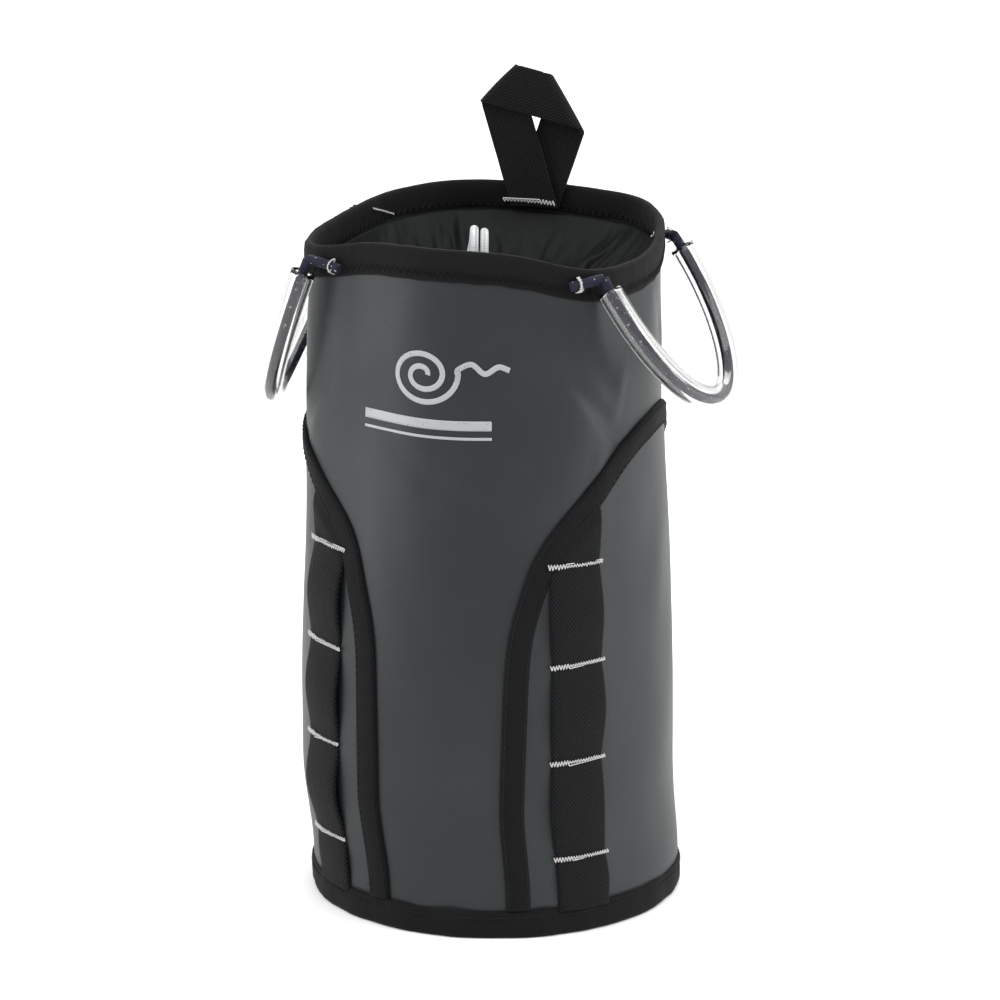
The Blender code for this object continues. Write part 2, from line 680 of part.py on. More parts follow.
def make_cord_lock():
    body = make_piece(lock_cylinder("cord_lock_body", LOCK_RADIUS, LOCK_ENDS))
    subtract(body, lock_cylinder("lock_bore", LOCK_BORE, (LOCK_ENDS[0] - 5, BORE_END)))
    subtract(body, lock_box("lock_slot", (*CORD_SLOT, 30), (0, 0, 0)))
    plunger = make_piece(lock_cylinder("cord_lock_plunger", PLUNGER_RADIUS, PLUNGER_ENDS))
    low, high = PLUNGER_SLOT
    subtract(plunger, lock_box("plunger_slot", (CORD_SLOT[0], high - low, 30), (0, (low + high) / 2, 0)))

    low, high = SPRING_ENDS
    coils = []
    for n in range(int(SPRING_TURNS * 12) + 1):
        angle = 2 * pi * n / 12
        place = low + (high - low) * n / (SPRING_TURNS * 12)
        coils.append(Vector((SPRING_RADIUS * cos(angle), place, SPRING_RADIUS * sin(angle))) * MM)
    spring = tube("cord_lock_spring", coils, SPRING_WIRE * MM, "spring_steel")
    spring.location = closure_point(*LOCK_CENTRE)
    spring.rotation_euler.z = radians(CLOSURE_TURN)


clear_scene()
PARTS = make_collection("rope_storage_bag")
CUTTERS = make_collection("cutters")
HANDLE_PIVOT = handle_point(0, HANDLE_AXIS[0], HANDLE_AXIS[1])

make_outer_shell()
make_rim_binding()
make_base()
make_back_seam_tape()
for side, side_name in ((1, "right"), (-1, "left")):
    make_panel(side, side_name)
    make_panel_binding(side, side_name)
    make_daisy(side, side_name)
make_handle()
make_handle_anchor()
for loop_name, loop_sizes in GEAR_LOOPS.items():
    make_gear_loop(loop_name, loop_sizes)
    make_cord_ends(loop_name, loop_sizes)
make_skirt()
make_hem()
make_drawcords()
make_cord_lock()
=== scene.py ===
# %% [markdown]
# # A rope storage bag
# The bag is a tarpaulin tube on a round base. Its mouth is bound with tape, gathered inside by a drawcord skirt, and
# carries two tube-covered gear loops and a folded webbing handle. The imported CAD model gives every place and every
# joint. This lesson dresses it: each soft piece is made again as a fine mesh that lies where its plain solid lies.

# %% Load the frame and keep its box
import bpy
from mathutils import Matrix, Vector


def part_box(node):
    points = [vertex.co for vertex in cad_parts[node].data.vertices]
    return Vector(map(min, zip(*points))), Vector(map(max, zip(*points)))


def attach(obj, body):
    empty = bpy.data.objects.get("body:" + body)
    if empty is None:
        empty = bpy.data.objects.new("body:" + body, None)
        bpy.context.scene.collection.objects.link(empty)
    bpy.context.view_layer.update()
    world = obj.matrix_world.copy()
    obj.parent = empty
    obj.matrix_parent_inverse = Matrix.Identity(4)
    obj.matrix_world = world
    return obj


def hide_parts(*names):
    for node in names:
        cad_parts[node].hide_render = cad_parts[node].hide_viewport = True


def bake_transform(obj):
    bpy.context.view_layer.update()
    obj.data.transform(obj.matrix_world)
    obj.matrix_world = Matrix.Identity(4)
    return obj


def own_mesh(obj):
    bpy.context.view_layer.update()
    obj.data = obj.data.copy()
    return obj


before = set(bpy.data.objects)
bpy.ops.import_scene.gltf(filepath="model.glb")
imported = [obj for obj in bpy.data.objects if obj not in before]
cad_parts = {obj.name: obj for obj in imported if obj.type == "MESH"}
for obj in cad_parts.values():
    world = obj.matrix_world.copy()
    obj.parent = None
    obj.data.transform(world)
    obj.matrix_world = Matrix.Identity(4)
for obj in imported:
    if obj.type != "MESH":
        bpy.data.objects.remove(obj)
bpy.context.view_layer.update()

from math import atan2, cos, degrees, floor, pi, radians, sin, sqrt

import bmesh
import bpy
import numpy as np
from mathutils import Matrix, Vector
from mathutils.noise import noise

MM = 0.001

# %% [markdown]
# ## The bag's own centre line
# The base binding is a turned ring, so the middle of its box is the bag's centre line on the ground. Everything
# round the bag is then given as a turn from the front in degrees, a height, and how far out it lies from the wall.

# %% Find the centre line
ring_low, ring_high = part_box("base_binding")
CENTRE = Vector(((ring_low[0] + ring_high[0]) / 2, (ring_low[1] + ring_high[1]) / 2, 0))
BASE_TOP = ring_high[2]
print("centre line at", [round(v / MM, 2) for v in CENTRE], "mm; base binding is", round(BASE_TOP / MM, 1), "mm tall")

# %% [markdown]
# ## Camera, light and floor
# The camera stands well back with a long lens, a little to the right of the front and above the mouth, so the bag
# shows hardly any perspective. Two tall soft boxes light its flanks and leave the front dark, as glossy tarpaulin is
# usually shown, and a broad soft light from above opens the mouth.

# %% Camera
VIEW_TURN, VIEW_RISE, VIEW_DISTANCE = 19.6, 16.66, 2.9473
AIM = CENTRE + Vector((1.65, 0.59, 171.3)) * MM


def look_at(obj, target):
    obj.rotation_euler = (Vector(target) - obj.location).to_track_quat("-Z", "Y").to_euler()


camera_data = bpy.data.cameras.new("camera")
camera_data.lens, camera_data.sensor_width = 247.13, 36
camera = bpy.data.objects.new("camera", camera_data)
bpy.context.scene.collection.objects.link(camera)
turn, rise = radians(VIEW_TURN), radians(VIEW_RISE)
camera.location = AIM + VIEW_DISTANCE * Vector((sin(turn) * cos(rise), -cos(turn) * cos(rise), sin(rise)))
look_at(camera, AIM)
bpy.context.scene.camera = camera
bpy.context.scene.view_settings.view_transform = "Standard"
print("camera at", [round(v, 3) for v in camera.location])

# %% Lights and floor


def soft_box(name, turn, rise, distance, size, watts):
    """An area light on a circle round the bag, facing its middle."""
    data = bpy.data.lights.new(name, "AREA")
    data.shape, data.energy = "RECTANGLE", watts
    data.size, data.size_y = size
    lamp = bpy.data.objects.new(name, data)
    bpy.context.scene.collection.objects.link(lamp)
    a, b = radians(turn), radians(rise)
    middle = Vector((0, 0, 0.17))
    lamp.location = middle + distance * Vector((sin(a) * cos(b), -cos(a) * cos(b), sin(b)))
    look_at(lamp, middle)


soft_box("left_flank", -62, 12, 1.5, (0.5, 1.6), 17)
soft_box("right_flank", 92, 14, 1.5, (0.5, 1.6), 21)
soft_box("overhead", 20, 72, 1.7, (1.5, 1.5), 15)
soft_box("front_fill", -14, 30, 2.6, (0.8, 1.0), 5)
soft_box("back_rim", 190, 40, 1.8, (1.2, 0.8), 12)

world = bpy.data.worlds.new("studio")
world.use_nodes = True
world.node_tree.nodes["Background"].inputs["Color"].default_value = (1, 1, 1, 1)
world.node_tree.nodes["Background"].inputs["Strength"].default_value = 1.0
bpy.context.scene.world = world

floor_mesh = bpy.data.meshes.new("floor")
floor_mesh.from_pydata([(-6, -6, 0), (6, -6, 0), (6, 12, 0), (-6, 12, 0)], [], [(0, 1, 2, 3)])
floor_piece = bpy.data.objects.new("floor", floor_mesh)
bpy.context.scene.collection.objects.link(floor_piece)
print("five soft lights, one pale floor")

# %% [markdown]
# ## Making meshes from rows of points
# Almost everything on a sewn bag is a strip or a tube of cloth, so one helper turns rows of points into a mesh. It
# also writes a UV map in real millimetres. A weave or a stitch drawn in those coordinates then has its true size on
# every piece, however the piece is bent.

# %% Mesh helpers


def link_mesh(name, points, faces, uvs, body="root", nodes=(), slot=None, finish=None, around=None):
    """A smooth mesh object that rides on a body and stands for the named CAD nodes."""
    data = bpy.data.meshes.new(name)
    data.from_pydata([tuple(p) for p in points], [], faces)
    layer = data.uv_layers.new(name="cloth_mm")
    corners = np.empty(len(data.loops), np.int32)
    data.loops.foreach_get("vertex_index", corners)
    table = np.array(uvs, np.float32)[corners]
    if around:
        # A face that closes a ring has both ends of the map: its low side is moved on by one turn of the ring.
        sizes = np.array([len(face) for face in faces])
        starts = np.repeat(np.concatenate([[0], np.cumsum(sizes)[:-1]]), sizes)
        widest = np.maximum.reduceat(table[:, 0], np.unique(starts))[np.searchsorted(np.unique(starts), starts)]
        table[widest - table[:, 0] > around / 2, 0] += around
    layer.data.foreach_set("uv", table.reshape(-1))
    data.shade_smooth()
    obj = bpy.data.objects.new(name, data)
    bpy.context.scene.collection.objects.link(obj)
    return dress(obj, body, nodes, finish)


def dress(obj, body="root", nodes=(), finish=None):
    """Says what a piece rides on, what it stands for and what it is made of."""
    if body:
        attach(obj, body)
    if nodes:
        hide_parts(*nodes)
    if finish:
        obj.data.materials.clear()
        obj.data.materials.append(finish)
    return obj


def grid_faces(rows, columns, around=False):
    faces = []
    for r in range(rows - 1):
        for c in range(columns if around else columns - 1):
            d = (c + 1) % columns
            faces.append((r * columns + c, r * columns + d, (r + 1) * columns + d, (r + 1) * columns + c))
    return faces


def thicken(obj, thickness, offset=1, bevel=0.0):
    """Cloth thickness: offset 1 grows outwards, -1 inwards, 0 both ways."""
    made = obj.modifiers.new("thickness", "SOLIDIFY")
    made.thickness, made.offset = thickness, offset
    made.use_even_offset = True
    if bevel:
        edge = obj.modifiers.new("worn_edge", "BEVEL")
        edge.width, edge.segments, edge.limit_method, edge.angle_limit = bevel, 2, "ANGLE", radians(50)
    return obj


def settle(obj):
    """Applies the modifiers into the piece's own mesh."""
    bpy.context.view_layer.update()
    data = bpy.data.meshes.new_from_object(obj.evaluated_get(bpy.context.evaluated_depsgraph_get()))
    obj.modifiers.clear()
    obj.data = data
    return obj


def spaced(line, spacing):
    """The polyline read again at even steps of about this spacing."""
    line = [Vector(p) for p in line]
    along = [0.0]
    for a, b in zip(line, line[1:]):
        along.append(along[-1] + (b - a).length)
    count = max(2, round(along[-1] / spacing))
    read, place = [], 0
    for n in range(count + 1):
        want = along[-1] * n / count
        while place < len(line) - 2 and along[place + 1] < want:
            place += 1
        share = (want - along[place]) / max(along[place + 1] - along[place], 1e-12)
        read.append(line[place].lerp(line[place + 1], min(max(share, 0.0), 1.0)))
    return read


def smooth_route(points, spacing):
    """Even points on a Catmull-Rom curve through the given ones."""
    points = [Vector(p) for p in points]
    ends = [2 * points[0] - points[1], *points, 2 * points[-1] - points[-2]]
    fine = [points[0]]
    for a, b, c, d in zip(ends, ends[1:], ends[2:], ends[3:]):
        for n in range(1, 25):
            t = n / 24
            fine.append(0.5 * (2 * b + (c - a) * t + (2 * a - 5 * b + 4 * c - d) * t * t
                               + (3 * b - a - 3 * c + d) * t ** 3))
    return spaced(fine, spacing)


def length_of(line):
    return sum((b - a).length for a, b in zip(line, line[1:]))


def pipe(name, line, radius, sides=16, inner=None, shape=None, closed=False, **dressing):
    """A round tube along a line. With an inner radius it is hollow, and shape(angle, place) scales its radius."""
    tangents = []
    count = len(line)
    for n in range(count):
        a = line[(n - 1) % count] if closed else line[max(n - 1, 0)]
        b = line[(n + 1) % count] if closed else line[min(n + 1, count - 1)]
        tangents.append((b - a).normalized())
    side = tangents[0].orthogonal().normalized()
    points, uvs, along = [], [], 0.0
    frames = []
    for n in range(count):
        side = (side - tangents[n] * side.dot(tangents[n])).normalized()
        frames.append((side.copy(), tangents[n].cross(side)))
        along += (line[n] - line[n - 1]).length if n else 0.0
        for s in range(sides):
            angle = 2 * pi * s / sides
            scale = shape(angle, along) if shape else 1.0
            points.append(line[n] + (frames[n][0] * cos(angle) + frames[n][1] * sin(angle)) * radius * scale)
            uvs.append((along / MM, angle * radius / MM))
    faces = grid_faces(count, sides, True)
    if closed:
        last = (count - 1) * sides
        faces += [(last + s, last + (s + 1) % sides, (s + 1) % sides, s) for s in range(sides)]
    if inner:
        start = len(points)
        for n in range(count):
            for s in range(sides):
                angle = 2 * pi * s / sides
                points.append(line[n] + (frames[n][0] * cos(angle) + frames[n][1] * sin(angle)) * inner)
                uvs.append(uvs[n * sides + s])
        faces += [[start + v for v in face[::-1]] for face in grid_faces(count, sides, True)]
        for s in range(sides):
            t = (s + 1) % sides
            faces.append((s, start + s, start + t, t))
            last = (count - 1) * sides
            faces.append((last + t, start + last + t, start + last + s, last + s))
    elif not closed:
        faces.append(tuple(range(sides))[::-1])
        faces.append(tuple((count - 1) * sides + s for s in range(sides)))
    return link_mesh(name, points, faces, uvs, **dressing)


print("helpers ready")

# %% [markdown]
# ## Finishes
# The bag is nearly all black, so its finishes differ by weave, gloss and relief, not by colour. Two shader groups
# carry what the finishes share: a woven relief, and handling, with a slow unevenness and the light, dusty wear that
# gathers where cloth is rubbed. Each group only puts out masks, heights and tones; the shader stays in the material.

# %% Node helpers


def wire(tree, value, socket):
    """Joins a socket to a socket, or sets a plain value."""
    if isinstance(value, bpy.types.NodeSocket):
        tree.links.new(value, socket)
    elif value is not None:
        socket.default_value = value


def maths(tree, operation, a, b=None, c=None, clamp=False):
    step = tree.nodes.new("ShaderNodeMath")
    step.operation, step.use_clamp = operation, clamp
    for value, socket in zip((a, b, c), step.inputs):
        wire(tree, value, socket)
    return step.outputs[0]


def mixed(tree, share, a, b):
    """A colour between two colours."""
    step = tree.nodes.new("ShaderNodeMix")
    step.data_type = "RGBA"
    for value, socket in zip((share, a, b), (step.inputs[0], step.inputs[6], step.inputs[7])):
        wire(tree, value, socket)
    return step.outputs[2]


def speckle(tree, vector, scale, detail=2.0, roughness=0.5):
    step = tree.nodes.new("ShaderNodeTexNoise")
    wire(tree, vector, step.inputs["Vector"])
    for key, value in (("Scale", scale), ("Detail", detail), ("Roughness", roughness)):
        wire(tree, value, step.inputs[key])
    return step.outputs["Fac"]


def ramped(tree, value, low, high):
    """0 below low, 1 above high, smooth between."""
    step = tree.nodes.new("ShaderNodeMapRange")
    step.interpolation_type = "SMOOTHSTEP"
    for socket, given in zip(step.inputs, (value, low, high, 0.0, 1.0)):
        wire(tree, given, socket)
    return step.outputs[0]


def cloth_map(tree):
    """The piece's own millimetre map, as two numbers and a vector."""
    step = tree.nodes.new("ShaderNodeUVMap")
    step.uv_map = "cloth_mm"
    split = tree.nodes.new("ShaderNodeSeparateXYZ")
    tree.links.new(step.outputs[0], split.inputs[0])
    return split.outputs[0], split.outputs[1], step.outputs[0]


def new_group(name, inputs, outputs):
    group = bpy.data.node_groups.new(name, "ShaderNodeTree")
    for label, kind, value in inputs:
        made = group.interface.new_socket(label, in_out="INPUT", socket_type=kind)
        if value is not None:
            made.default_value = value
    for label, kind in outputs:
        group.interface.new_socket(label, in_out="OUTPUT", socket_type=kind)
    return group, group.nodes.new("NodeGroupInput").outputs, group.nodes.new("NodeGroupOutput").inputs


def place_group(tree, group, **values):
    step = tree.nodes.new("ShaderNodeGroup")
    step.node_tree = group
    for label, value in values.items():
        wire(tree, value, step.inputs[label.replace("_", " ")])
    return step.outputs


def new_finish(name, roughness, specular=0.5, sheen=0.0):
    """A material with its Principled shader, ready for its nodes."""
    material = bpy.data.materials.new(name)
    material.use_nodes = True
    shader = material.node_tree.nodes["Principled BSDF"]
    shader.inputs["Roughness"].default_value = roughness
    shader.inputs["Specular IOR Level"].default_value = specular
    shader.inputs["Sheen Weight"].default_value = sheen
    shader.inputs["Sheen Roughness"].default_value = 0.4
    return material, material.node_tree, shader


def relief(tree, shader, height, depth, strength=1.0):
    """Bump of a real depth in metres."""
    step = tree.nodes.new("ShaderNodeBump")
    step.inputs["Strength"].default_value = strength
    step.inputs["Distance"].default_value = depth
    tree.links.new(height, step.inputs["Height"])
    tree.links.new(step.outputs[0], shader.inputs["Normal"])


print("node helpers ready")

# %% [markdown]
# The woven relief is two sets of rounded threads that cross. Where the product of their waves is positive the warp
# is on top, elsewhere the weft. A plain weave has equal pitches. A grosgrain tape has fine ribs right across it, and a
# strap has coarse ribs along it, so both pitches are inputs.

# %% Group: woven relief
weave, put_in, put_out = new_group(
    "woven relief",
    (("Along", "NodeSocketFloat", 0.0), ("Across", "NodeSocketFloat", 0.0), ("Along pitch", "NodeSocketFloat", 1.0),
     ("Across pitch", "NodeSocketFloat", 1.0), ("Skew", "NodeSocketFloat", 0.0)),
    (("Height", "NodeSocketFloat"), ("Gap", "NodeSocketFloat")))
skewed = maths(weave, "ADD", put_in["Along"], maths(weave, "MULTIPLY", put_in["Across"], put_in["Skew"]))
first = maths(weave, "SINE", maths(weave, "MULTIPLY", maths(weave, "DIVIDE", skewed, put_in["Along pitch"]), 2 * pi))
second = maths(weave, "SINE", maths(weave, "MULTIPLY",
                                    maths(weave, "DIVIDE", put_in["Across"], put_in["Across pitch"]), 2 * pi))
crossing = maths(weave, "MULTIPLY", first, second)
height = maths(weave, "MULTIPLY_ADD", crossing, 0.5, 0.5)
weave.links.new(height, put_out["Height"])
# Gap marks the weave's hollows; the tarpaulin uses it to paint shade there.
weave.links.new(ramped(weave, height, 0.35, 0.1), put_out["Gap"])
print("woven relief:", [s.name for s in weave.interface.items_tree])

# %% [markdown]
# Handling leaves broad, faint clouds on a coated cloth and pale scuffs where it is rubbed. The clouds are slow noise.
# The scuffs are fine noise, kept only where a second, broader noise is high.

# %% Group: handling
handling, put_in, put_out = new_group(
    "handling", (("Cloud size", "NodeSocketFloat", 14.0), ("Scuff size", "NodeSocketFloat", 420.0)),
    (("Cloud", "NodeSocketFloat"), ("Scuff", "NodeSocketFloat"), ("Grain", "NodeSocketFloat")))
place = handling.nodes.new("ShaderNodeTexCoord").outputs["Object"]
cloud = speckle(handling, place, put_in["Cloud size"], 3.0, 0.55)
grain = speckle(handling, place, put_in["Scuff size"], 4.0, 0.65)
scuff = maths(handling, "MULTIPLY", ramped(handling, grain, 0.56, 0.74), ramped(handling, cloud, 0.5, 0.72))
for made, label in ((cloud, "Cloud"), (scuff, "Scuff"), (grain, "Grain")):
    handling.links.new(made, put_out[label])
print("handling:", [s.name for s in handling.interface.items_tree])

# %% [markdown]
# ### Tarpaulin
# Coated polyester looks charcoal and satin. The base weave prints through the coating as a faint grid about a
# millimetre across, a relief with painted shade in its hollows, and the coating has a fine, leathery grain that
# spreads the highlights.

# %% Tarpaulin


def make_tarpaulin(name, dark, light, roughness, specular=0.5):
    material, tree, shader = new_finish(name, roughness, specular)
    along, across, _ = cloth_map(tree)
    threads = place_group(tree, weave, Along=along, Across=across, Along_pitch=1.9, Across_pitch=1.9)
    used = place_group(tree, handling, Cloud_size=11.0, Scuff_size=900.0)
    tone = mixed(tree, ramped(tree, used["Cloud"], 0.3, 0.75), dark, light)
    tone = mixed(tree, maths(tree, "MULTIPLY", used["Scuff"], 0.3), tone, (0.06, 0.065, 0.07, 1))
    # Painted shade: the weave's hollows (the Gap mask) are darkened a quarter of the way to the dark tone.
    tree.links.new(mixed(tree, maths(tree, "MULTIPLY", threads["Gap"], 0.25), tone, dark), shader.inputs["Base Color"])
    rough = maths(tree, "MULTIPLY_ADD", used["Cloud"], 0.16, roughness - 0.08)
    tree.links.new(maths(tree, "MULTIPLY_ADD", used["Grain"], 0.08, rough), shader.inputs["Roughness"])
    height = maths(tree, "MULTIPLY_ADD", used["Grain"], 0.9, maths(tree, "MULTIPLY", threads["Height"], 0.35))
    relief(tree, shader, height, 0.00008)
    return material


TARPAULIN = make_tarpaulin("tarpaulin", (0.0075, 0.0100, 0.0110, 1), (0.0135, 0.0165, 0.0180, 1), 0.42, 0.3)
LINING = make_tarpaulin("tarpaulin_inside", (0.010, 0.014, 0.014, 1), (0.020, 0.026, 0.025, 1), 0.30, 0.5)
print("tarpaulin and its inner face")

# %% [markdown]
# ### Tape, webbing and thread
# Binding tape is grosgrain: fine ribs across its width. Webbing is thicker, with chevron ribs along it and two firm
# selvedges. Both are matt with a soft sheen of fibre ends. Thread is a twisted pale yarn.

# %% Binding tape, webbing and thread


def make_woven(name, dark, light, along_pitch, across_pitch, skew, depth, sheen=0.03, roughness=0.85):
    material, tree, shader = new_finish(name, roughness, 0.12, sheen)
    along, across, _ = cloth_map(tree)
    threads = place_group(tree, weave, Along=along, Across=across, Along_pitch=along_pitch,
                          Across_pitch=across_pitch, Skew=skew)
    used = place_group(tree, handling, Cloud_size=40.0, Scuff_size=2200.0)
    # Painted shade and highlight: the colour runs from dark in the weave's hollows to light on the thread crests.
    tone = mixed(tree, threads["Height"], dark, light)
    tone = mixed(tree, maths(tree, "MULTIPLY", used["Scuff"], 0.25), tone, (0.03, 0.03, 0.032, 1))
    tree.links.new(tone, shader.inputs["Base Color"])
    tree.links.new(maths(tree, "MULTIPLY_ADD", used["Grain"], 0.2, roughness - 0.1), shader.inputs["Roughness"])
    relief(tree, shader, maths(tree, "MULTIPLY_ADD", used["Grain"], 0.35, threads["Height"]), depth)
    return material


BINDING = make_woven("binding_tape", (0.0015, 0.0015, 0.002, 1), (0.0065, 0.0065, 0.0075, 1), 0.9, 1.7, 0.0, 0.00016)
WEBBING = make_woven("webbing", (0.0015, 0.0015, 0.002, 1), (0.009, 0.009, 0.010, 1), 2.2, 1.5, 0.0, 0.0003)
BLACK_THREAD = make_woven("black_thread", (0.003, 0.003, 0.0035, 1), (0.015, 0.015, 0.016, 1), 0.8, 0.7, 0.5, 0.0001)
THREAD = make_woven("pale_thread", (0.30, 0.30, 0.30, 1), (0.62, 0.62, 0.61, 1), 0.9, 0.8, 0.6, 0.0001)
SKIRT = make_woven("skirt_nylon", (0.0025, 0.003, 0.003, 1), (0.007, 0.008, 0.008, 1), 0.6, 0.6, 0.0, 0.00003,
                   0.02, 0.5)
print("tape, webbing, thread and nylon")

# %% [markdown]
# ### Cords
# A braid is a weave wrapped round a cylinder on the slant. The loop cord is navy with a few pale picks: a coarse,
# stretched noise chooses where a pale yarn comes to the surface. The drawcord is plain light grey.

# %% Braided cords


def make_braid(name, dark, light, fleck, pitch, fleck_share):
    material, tree, shader = new_finish(name, 0.62, 0.25, 0.02)
    along, across, spot = cloth_map(tree)
    left = maths(tree, "ADD", along, across)
    right = maths(tree, "SUBTRACT", along, across)
    threads = place_group(tree, weave, Along=left, Across=right, Along_pitch=pitch, Across_pitch=pitch)
    # Painted shade and highlight: the braid is dark in its grooves and light on its crests. The pale picks are the
    # yarn's own colour, shown on the crests.
    tone = mixed(tree, threads["Height"], dark, light)
    chosen = ramped(tree, speckle(tree, spot, 0.55, 1.0), fleck_share, fleck_share + 0.05)
    tone = mixed(tree, maths(tree, "MULTIPLY", chosen, threads["Height"]), tone, fleck)
    tree.links.new(tone, shader.inputs["Base Color"])
    relief(tree, shader, threads["Height"], 0.0003)
    return material


LOOP_CORD = make_braid("loop_cord", (0.002, 0.002, 0.007, 1), (0.005, 0.007, 0.030, 1), (0.55, 0.55, 0.58, 1),
                       1.5, 0.66)
DRAWCORD = make_braid("drawcord", (0.45, 0.47, 0.48, 1), (0.74, 0.76, 0.77, 1), (0.80, 0.82, 0.83, 1), 1.2, 0.62)
print("two braids")

# %% [markdown]
# ### Clear tube, moulded plastic, spring steel and print
# The gear loops' tube is clear plastic: a smooth, slightly cloudy transmission, glossy outside. The cord lock is
# moulded black plastic with a fine spark-eroded grain. The print is a thin grey ink that has cracked a little.

# %% Tube, plastic, steel and ink


def make_clear_tube():
    material, tree, shader = new_finish("clear_tube", 0.06, 0.5)
    shader.inputs["Transmission Weight"].default_value = 1.0
    shader.inputs["IOR"].default_value = 1.46
    used = place_group(tree, handling, Cloud_size=60.0, Scuff_size=700.0)
    tree.links.new(mixed(tree, used["Cloud"], (0.86, 0.87, 0.86, 1), (0.95, 0.95, 0.95, 1)),
                   shader.inputs["Base Color"])
    tree.links.new(maths(tree, "MULTIPLY_ADD", used["Scuff"], 0.25, 0.05), shader.inputs["Roughness"])
    relief(tree, shader, used["Cloud"], 0.0001, 0.4)
    return material


def make_plain(name, dark, light, roughness, metallic=0.0, depth=0.00003):
    material, tree, shader = new_finish(name, roughness)
    shader.inputs["Metallic"].default_value = metallic
    used = place_group(tree, handling, Cloud_size=70.0, Scuff_size=3000.0)
    tree.links.new(mixed(tree, used["Cloud"], dark, light), shader.inputs["Base Color"])
    tree.links.new(maths(tree, "MULTIPLY_ADD", used["Grain"], 0.2, roughness - 0.1), shader.inputs["Roughness"])
    relief(tree, shader, used["Grain"], depth)
    return material


def make_ink():
    material, tree, shader = new_finish("print_ink", 0.5)
    used = place_group(tree, handling, Cloud_size=90.0, Scuff_size=1400.0)
    worn = maths(tree, "MULTIPLY", ramped(tree, used["Grain"], 0.58, 0.66), ramped(tree, used["Cloud"], 0.5, 0.65))
    tree.links.new(mixed(tree, worn, (0.27, 0.28, 0.285, 1), (0.05, 0.055, 0.06, 1)), shader.inputs["Base Color"])
    tree.links.new(maths(tree, "MULTIPLY_ADD", used["Cloud"], 0.3, 0.35), shader.inputs["Roughness"])
    relief(tree, shader, used["Grain"], 0.00003)
    return material


TUBE = make_clear_tube()
PLASTIC = make_plain("lock_plastic", (0.004, 0.004, 0.0045, 1), (0.008, 0.008, 0.009, 1), 0.42)
STEEL = make_plain("spring_steel", (0.45, 0.45, 0.46, 1), (0.62, 0.62, 0.63, 1), 0.3, 1.0, 0.00001)
INK = make_ink()
FLOOR = make_plain("pale_floor", (0.86, 0.86, 0.86, 1), (0.90, 0.90, 0.90, 1), 0.85)
floor_piece.data.materials.append(FLOOR)
print(len(bpy.data.materials), "finishes")

# %% [markdown]
# ## The wall's form
# The wall is round at the base and turns into a rounded square at the mouth. One function gives its radius at any
# turn and height, and everything sewn to the wall is placed with it. Slow dents and a few creases below the front
# corners are added to the radius, so the tapes and webbings follow them too.

# %% Wall function
BODY = ((0, 78.2), (14, 78.2), (55, 78.6), (105, 79.0), (135, 78.4), (200, 76.6), (270, 75.7), (300, 75.7))
RIM_RADIUS = ((0, 67), (30, 66.5), (55, 77), (72, 75), (92, 73), (112, 73.5), (130, 78.5), (148, 83), (165, 80),
              (180, 79))
RIM_HEIGHT = ((0, 299), (30, 296.5), (55, 290), (90, 288.5), (127, 291.5), (180, 293))
SQUARE_FROM = 100 * MM
LEAN = Vector((cos(radians(VIEW_TURN)), sin(radians(VIEW_TURN)), 0)) * -3.6 * MM
LEAN_FROM, LEAN_TO = 13 * MM, 60 * MM
# Creases: turn and height where each starts and ends, its depth and its half width, all in degrees and millimetres.
CREASES = ((62, 279, 70, 262, -1.3, 4.5), (50, 240, 63, 218, -1.2, 5.5), (66, 236, 58, 205, 0.7, 6.0),
           (-58, 276, -66, 254, -1.0, 5.0), (-48, 232, -58, 212, -0.9, 6.0), (28, 262, 12, 246, -0.5, 8.0),
           (-8, 205, 14, 190, -0.45, 9.0), (140, 262, 150, 236, -0.9, 6.0), (-146, 258, -138, 232, -0.8, 6.0),
           (176, 150, 190, 128, -0.6, 9.0), (100, 262, 112, 246, -0.6, 7.0), (-96, 255, -84, 236, -0.6, 7.0))


def eased(t):
    t = min(max(t, 0.0), 1.0)
    return t * t * (3 - 2 * t)


def through(keys, at):
    """A smooth value through (place, value) keys, level at the first and the last."""
    last = len(keys) - 1
    at = min(max(at, keys[0][0]), keys[last][0])
    i = next(n for n in range(last) if at <= keys[n + 1][0])

    def slope(n):
        return 0.0 if n in (0, last) else (keys[n + 1][1] - keys[n - 1][1]) / (keys[n + 1][0] - keys[n - 1][0])

    step = keys[i + 1][0] - keys[i][0]
    t = (at - keys[i][0]) / step
    rise = keys[i + 1][1] - keys[i][1]
    bend = t * (1 - t) * ((slope(i) * step - rise) * (1 - t) - (slope(i + 1) * step - rise) * t)
    return keys[i][1] + rise * t + bend


def half_turn(turn):
    return abs((turn + 180) % 360 - 180)


def rim_height(turn):
    return through(RIM_HEIGHT, half_turn(turn)) * MM


def bell(x):
    return max(0.0, 1 - x * x) ** 2 if x < 1 else 0.0


def softness(turn, z):
    """Dents and creases, in millimetres. They fade out at the base and under the rim binding."""
    a = radians(turn)
    high = z / MM
    value = 1.5 * noise(Vector((cos(a) * 1.7 + 3.1, sin(a) * 1.7, high / 62)))
    value += 0.55 * noise(Vector((cos(a) * 4.0, sin(a) * 4.0 + 7.3, high / 34)))
    for turn_a, high_a, turn_b, high_b, depth, width in CREASES:
        start = Vector((turn_a * 1.33, high_a))
        along = Vector((turn_b * 1.33, high_b)) - start
        here = Vector((((turn - turn_a + 180) % 360 - 180) * 1.33, high - high_a))
        share = here.dot(along) / along.length_squared
        if -0.6 < share < 1.6:
            aside = (here - along * share).length / width
            value += depth * bell(aside) * eased(1 + share / 0.6) * eased((1.6 - share) / 0.6)
    return value * eased((high - 14) / 45) * (0.35 + 0.65 * eased((rim_height(turn) / MM - high - 14) / 40))


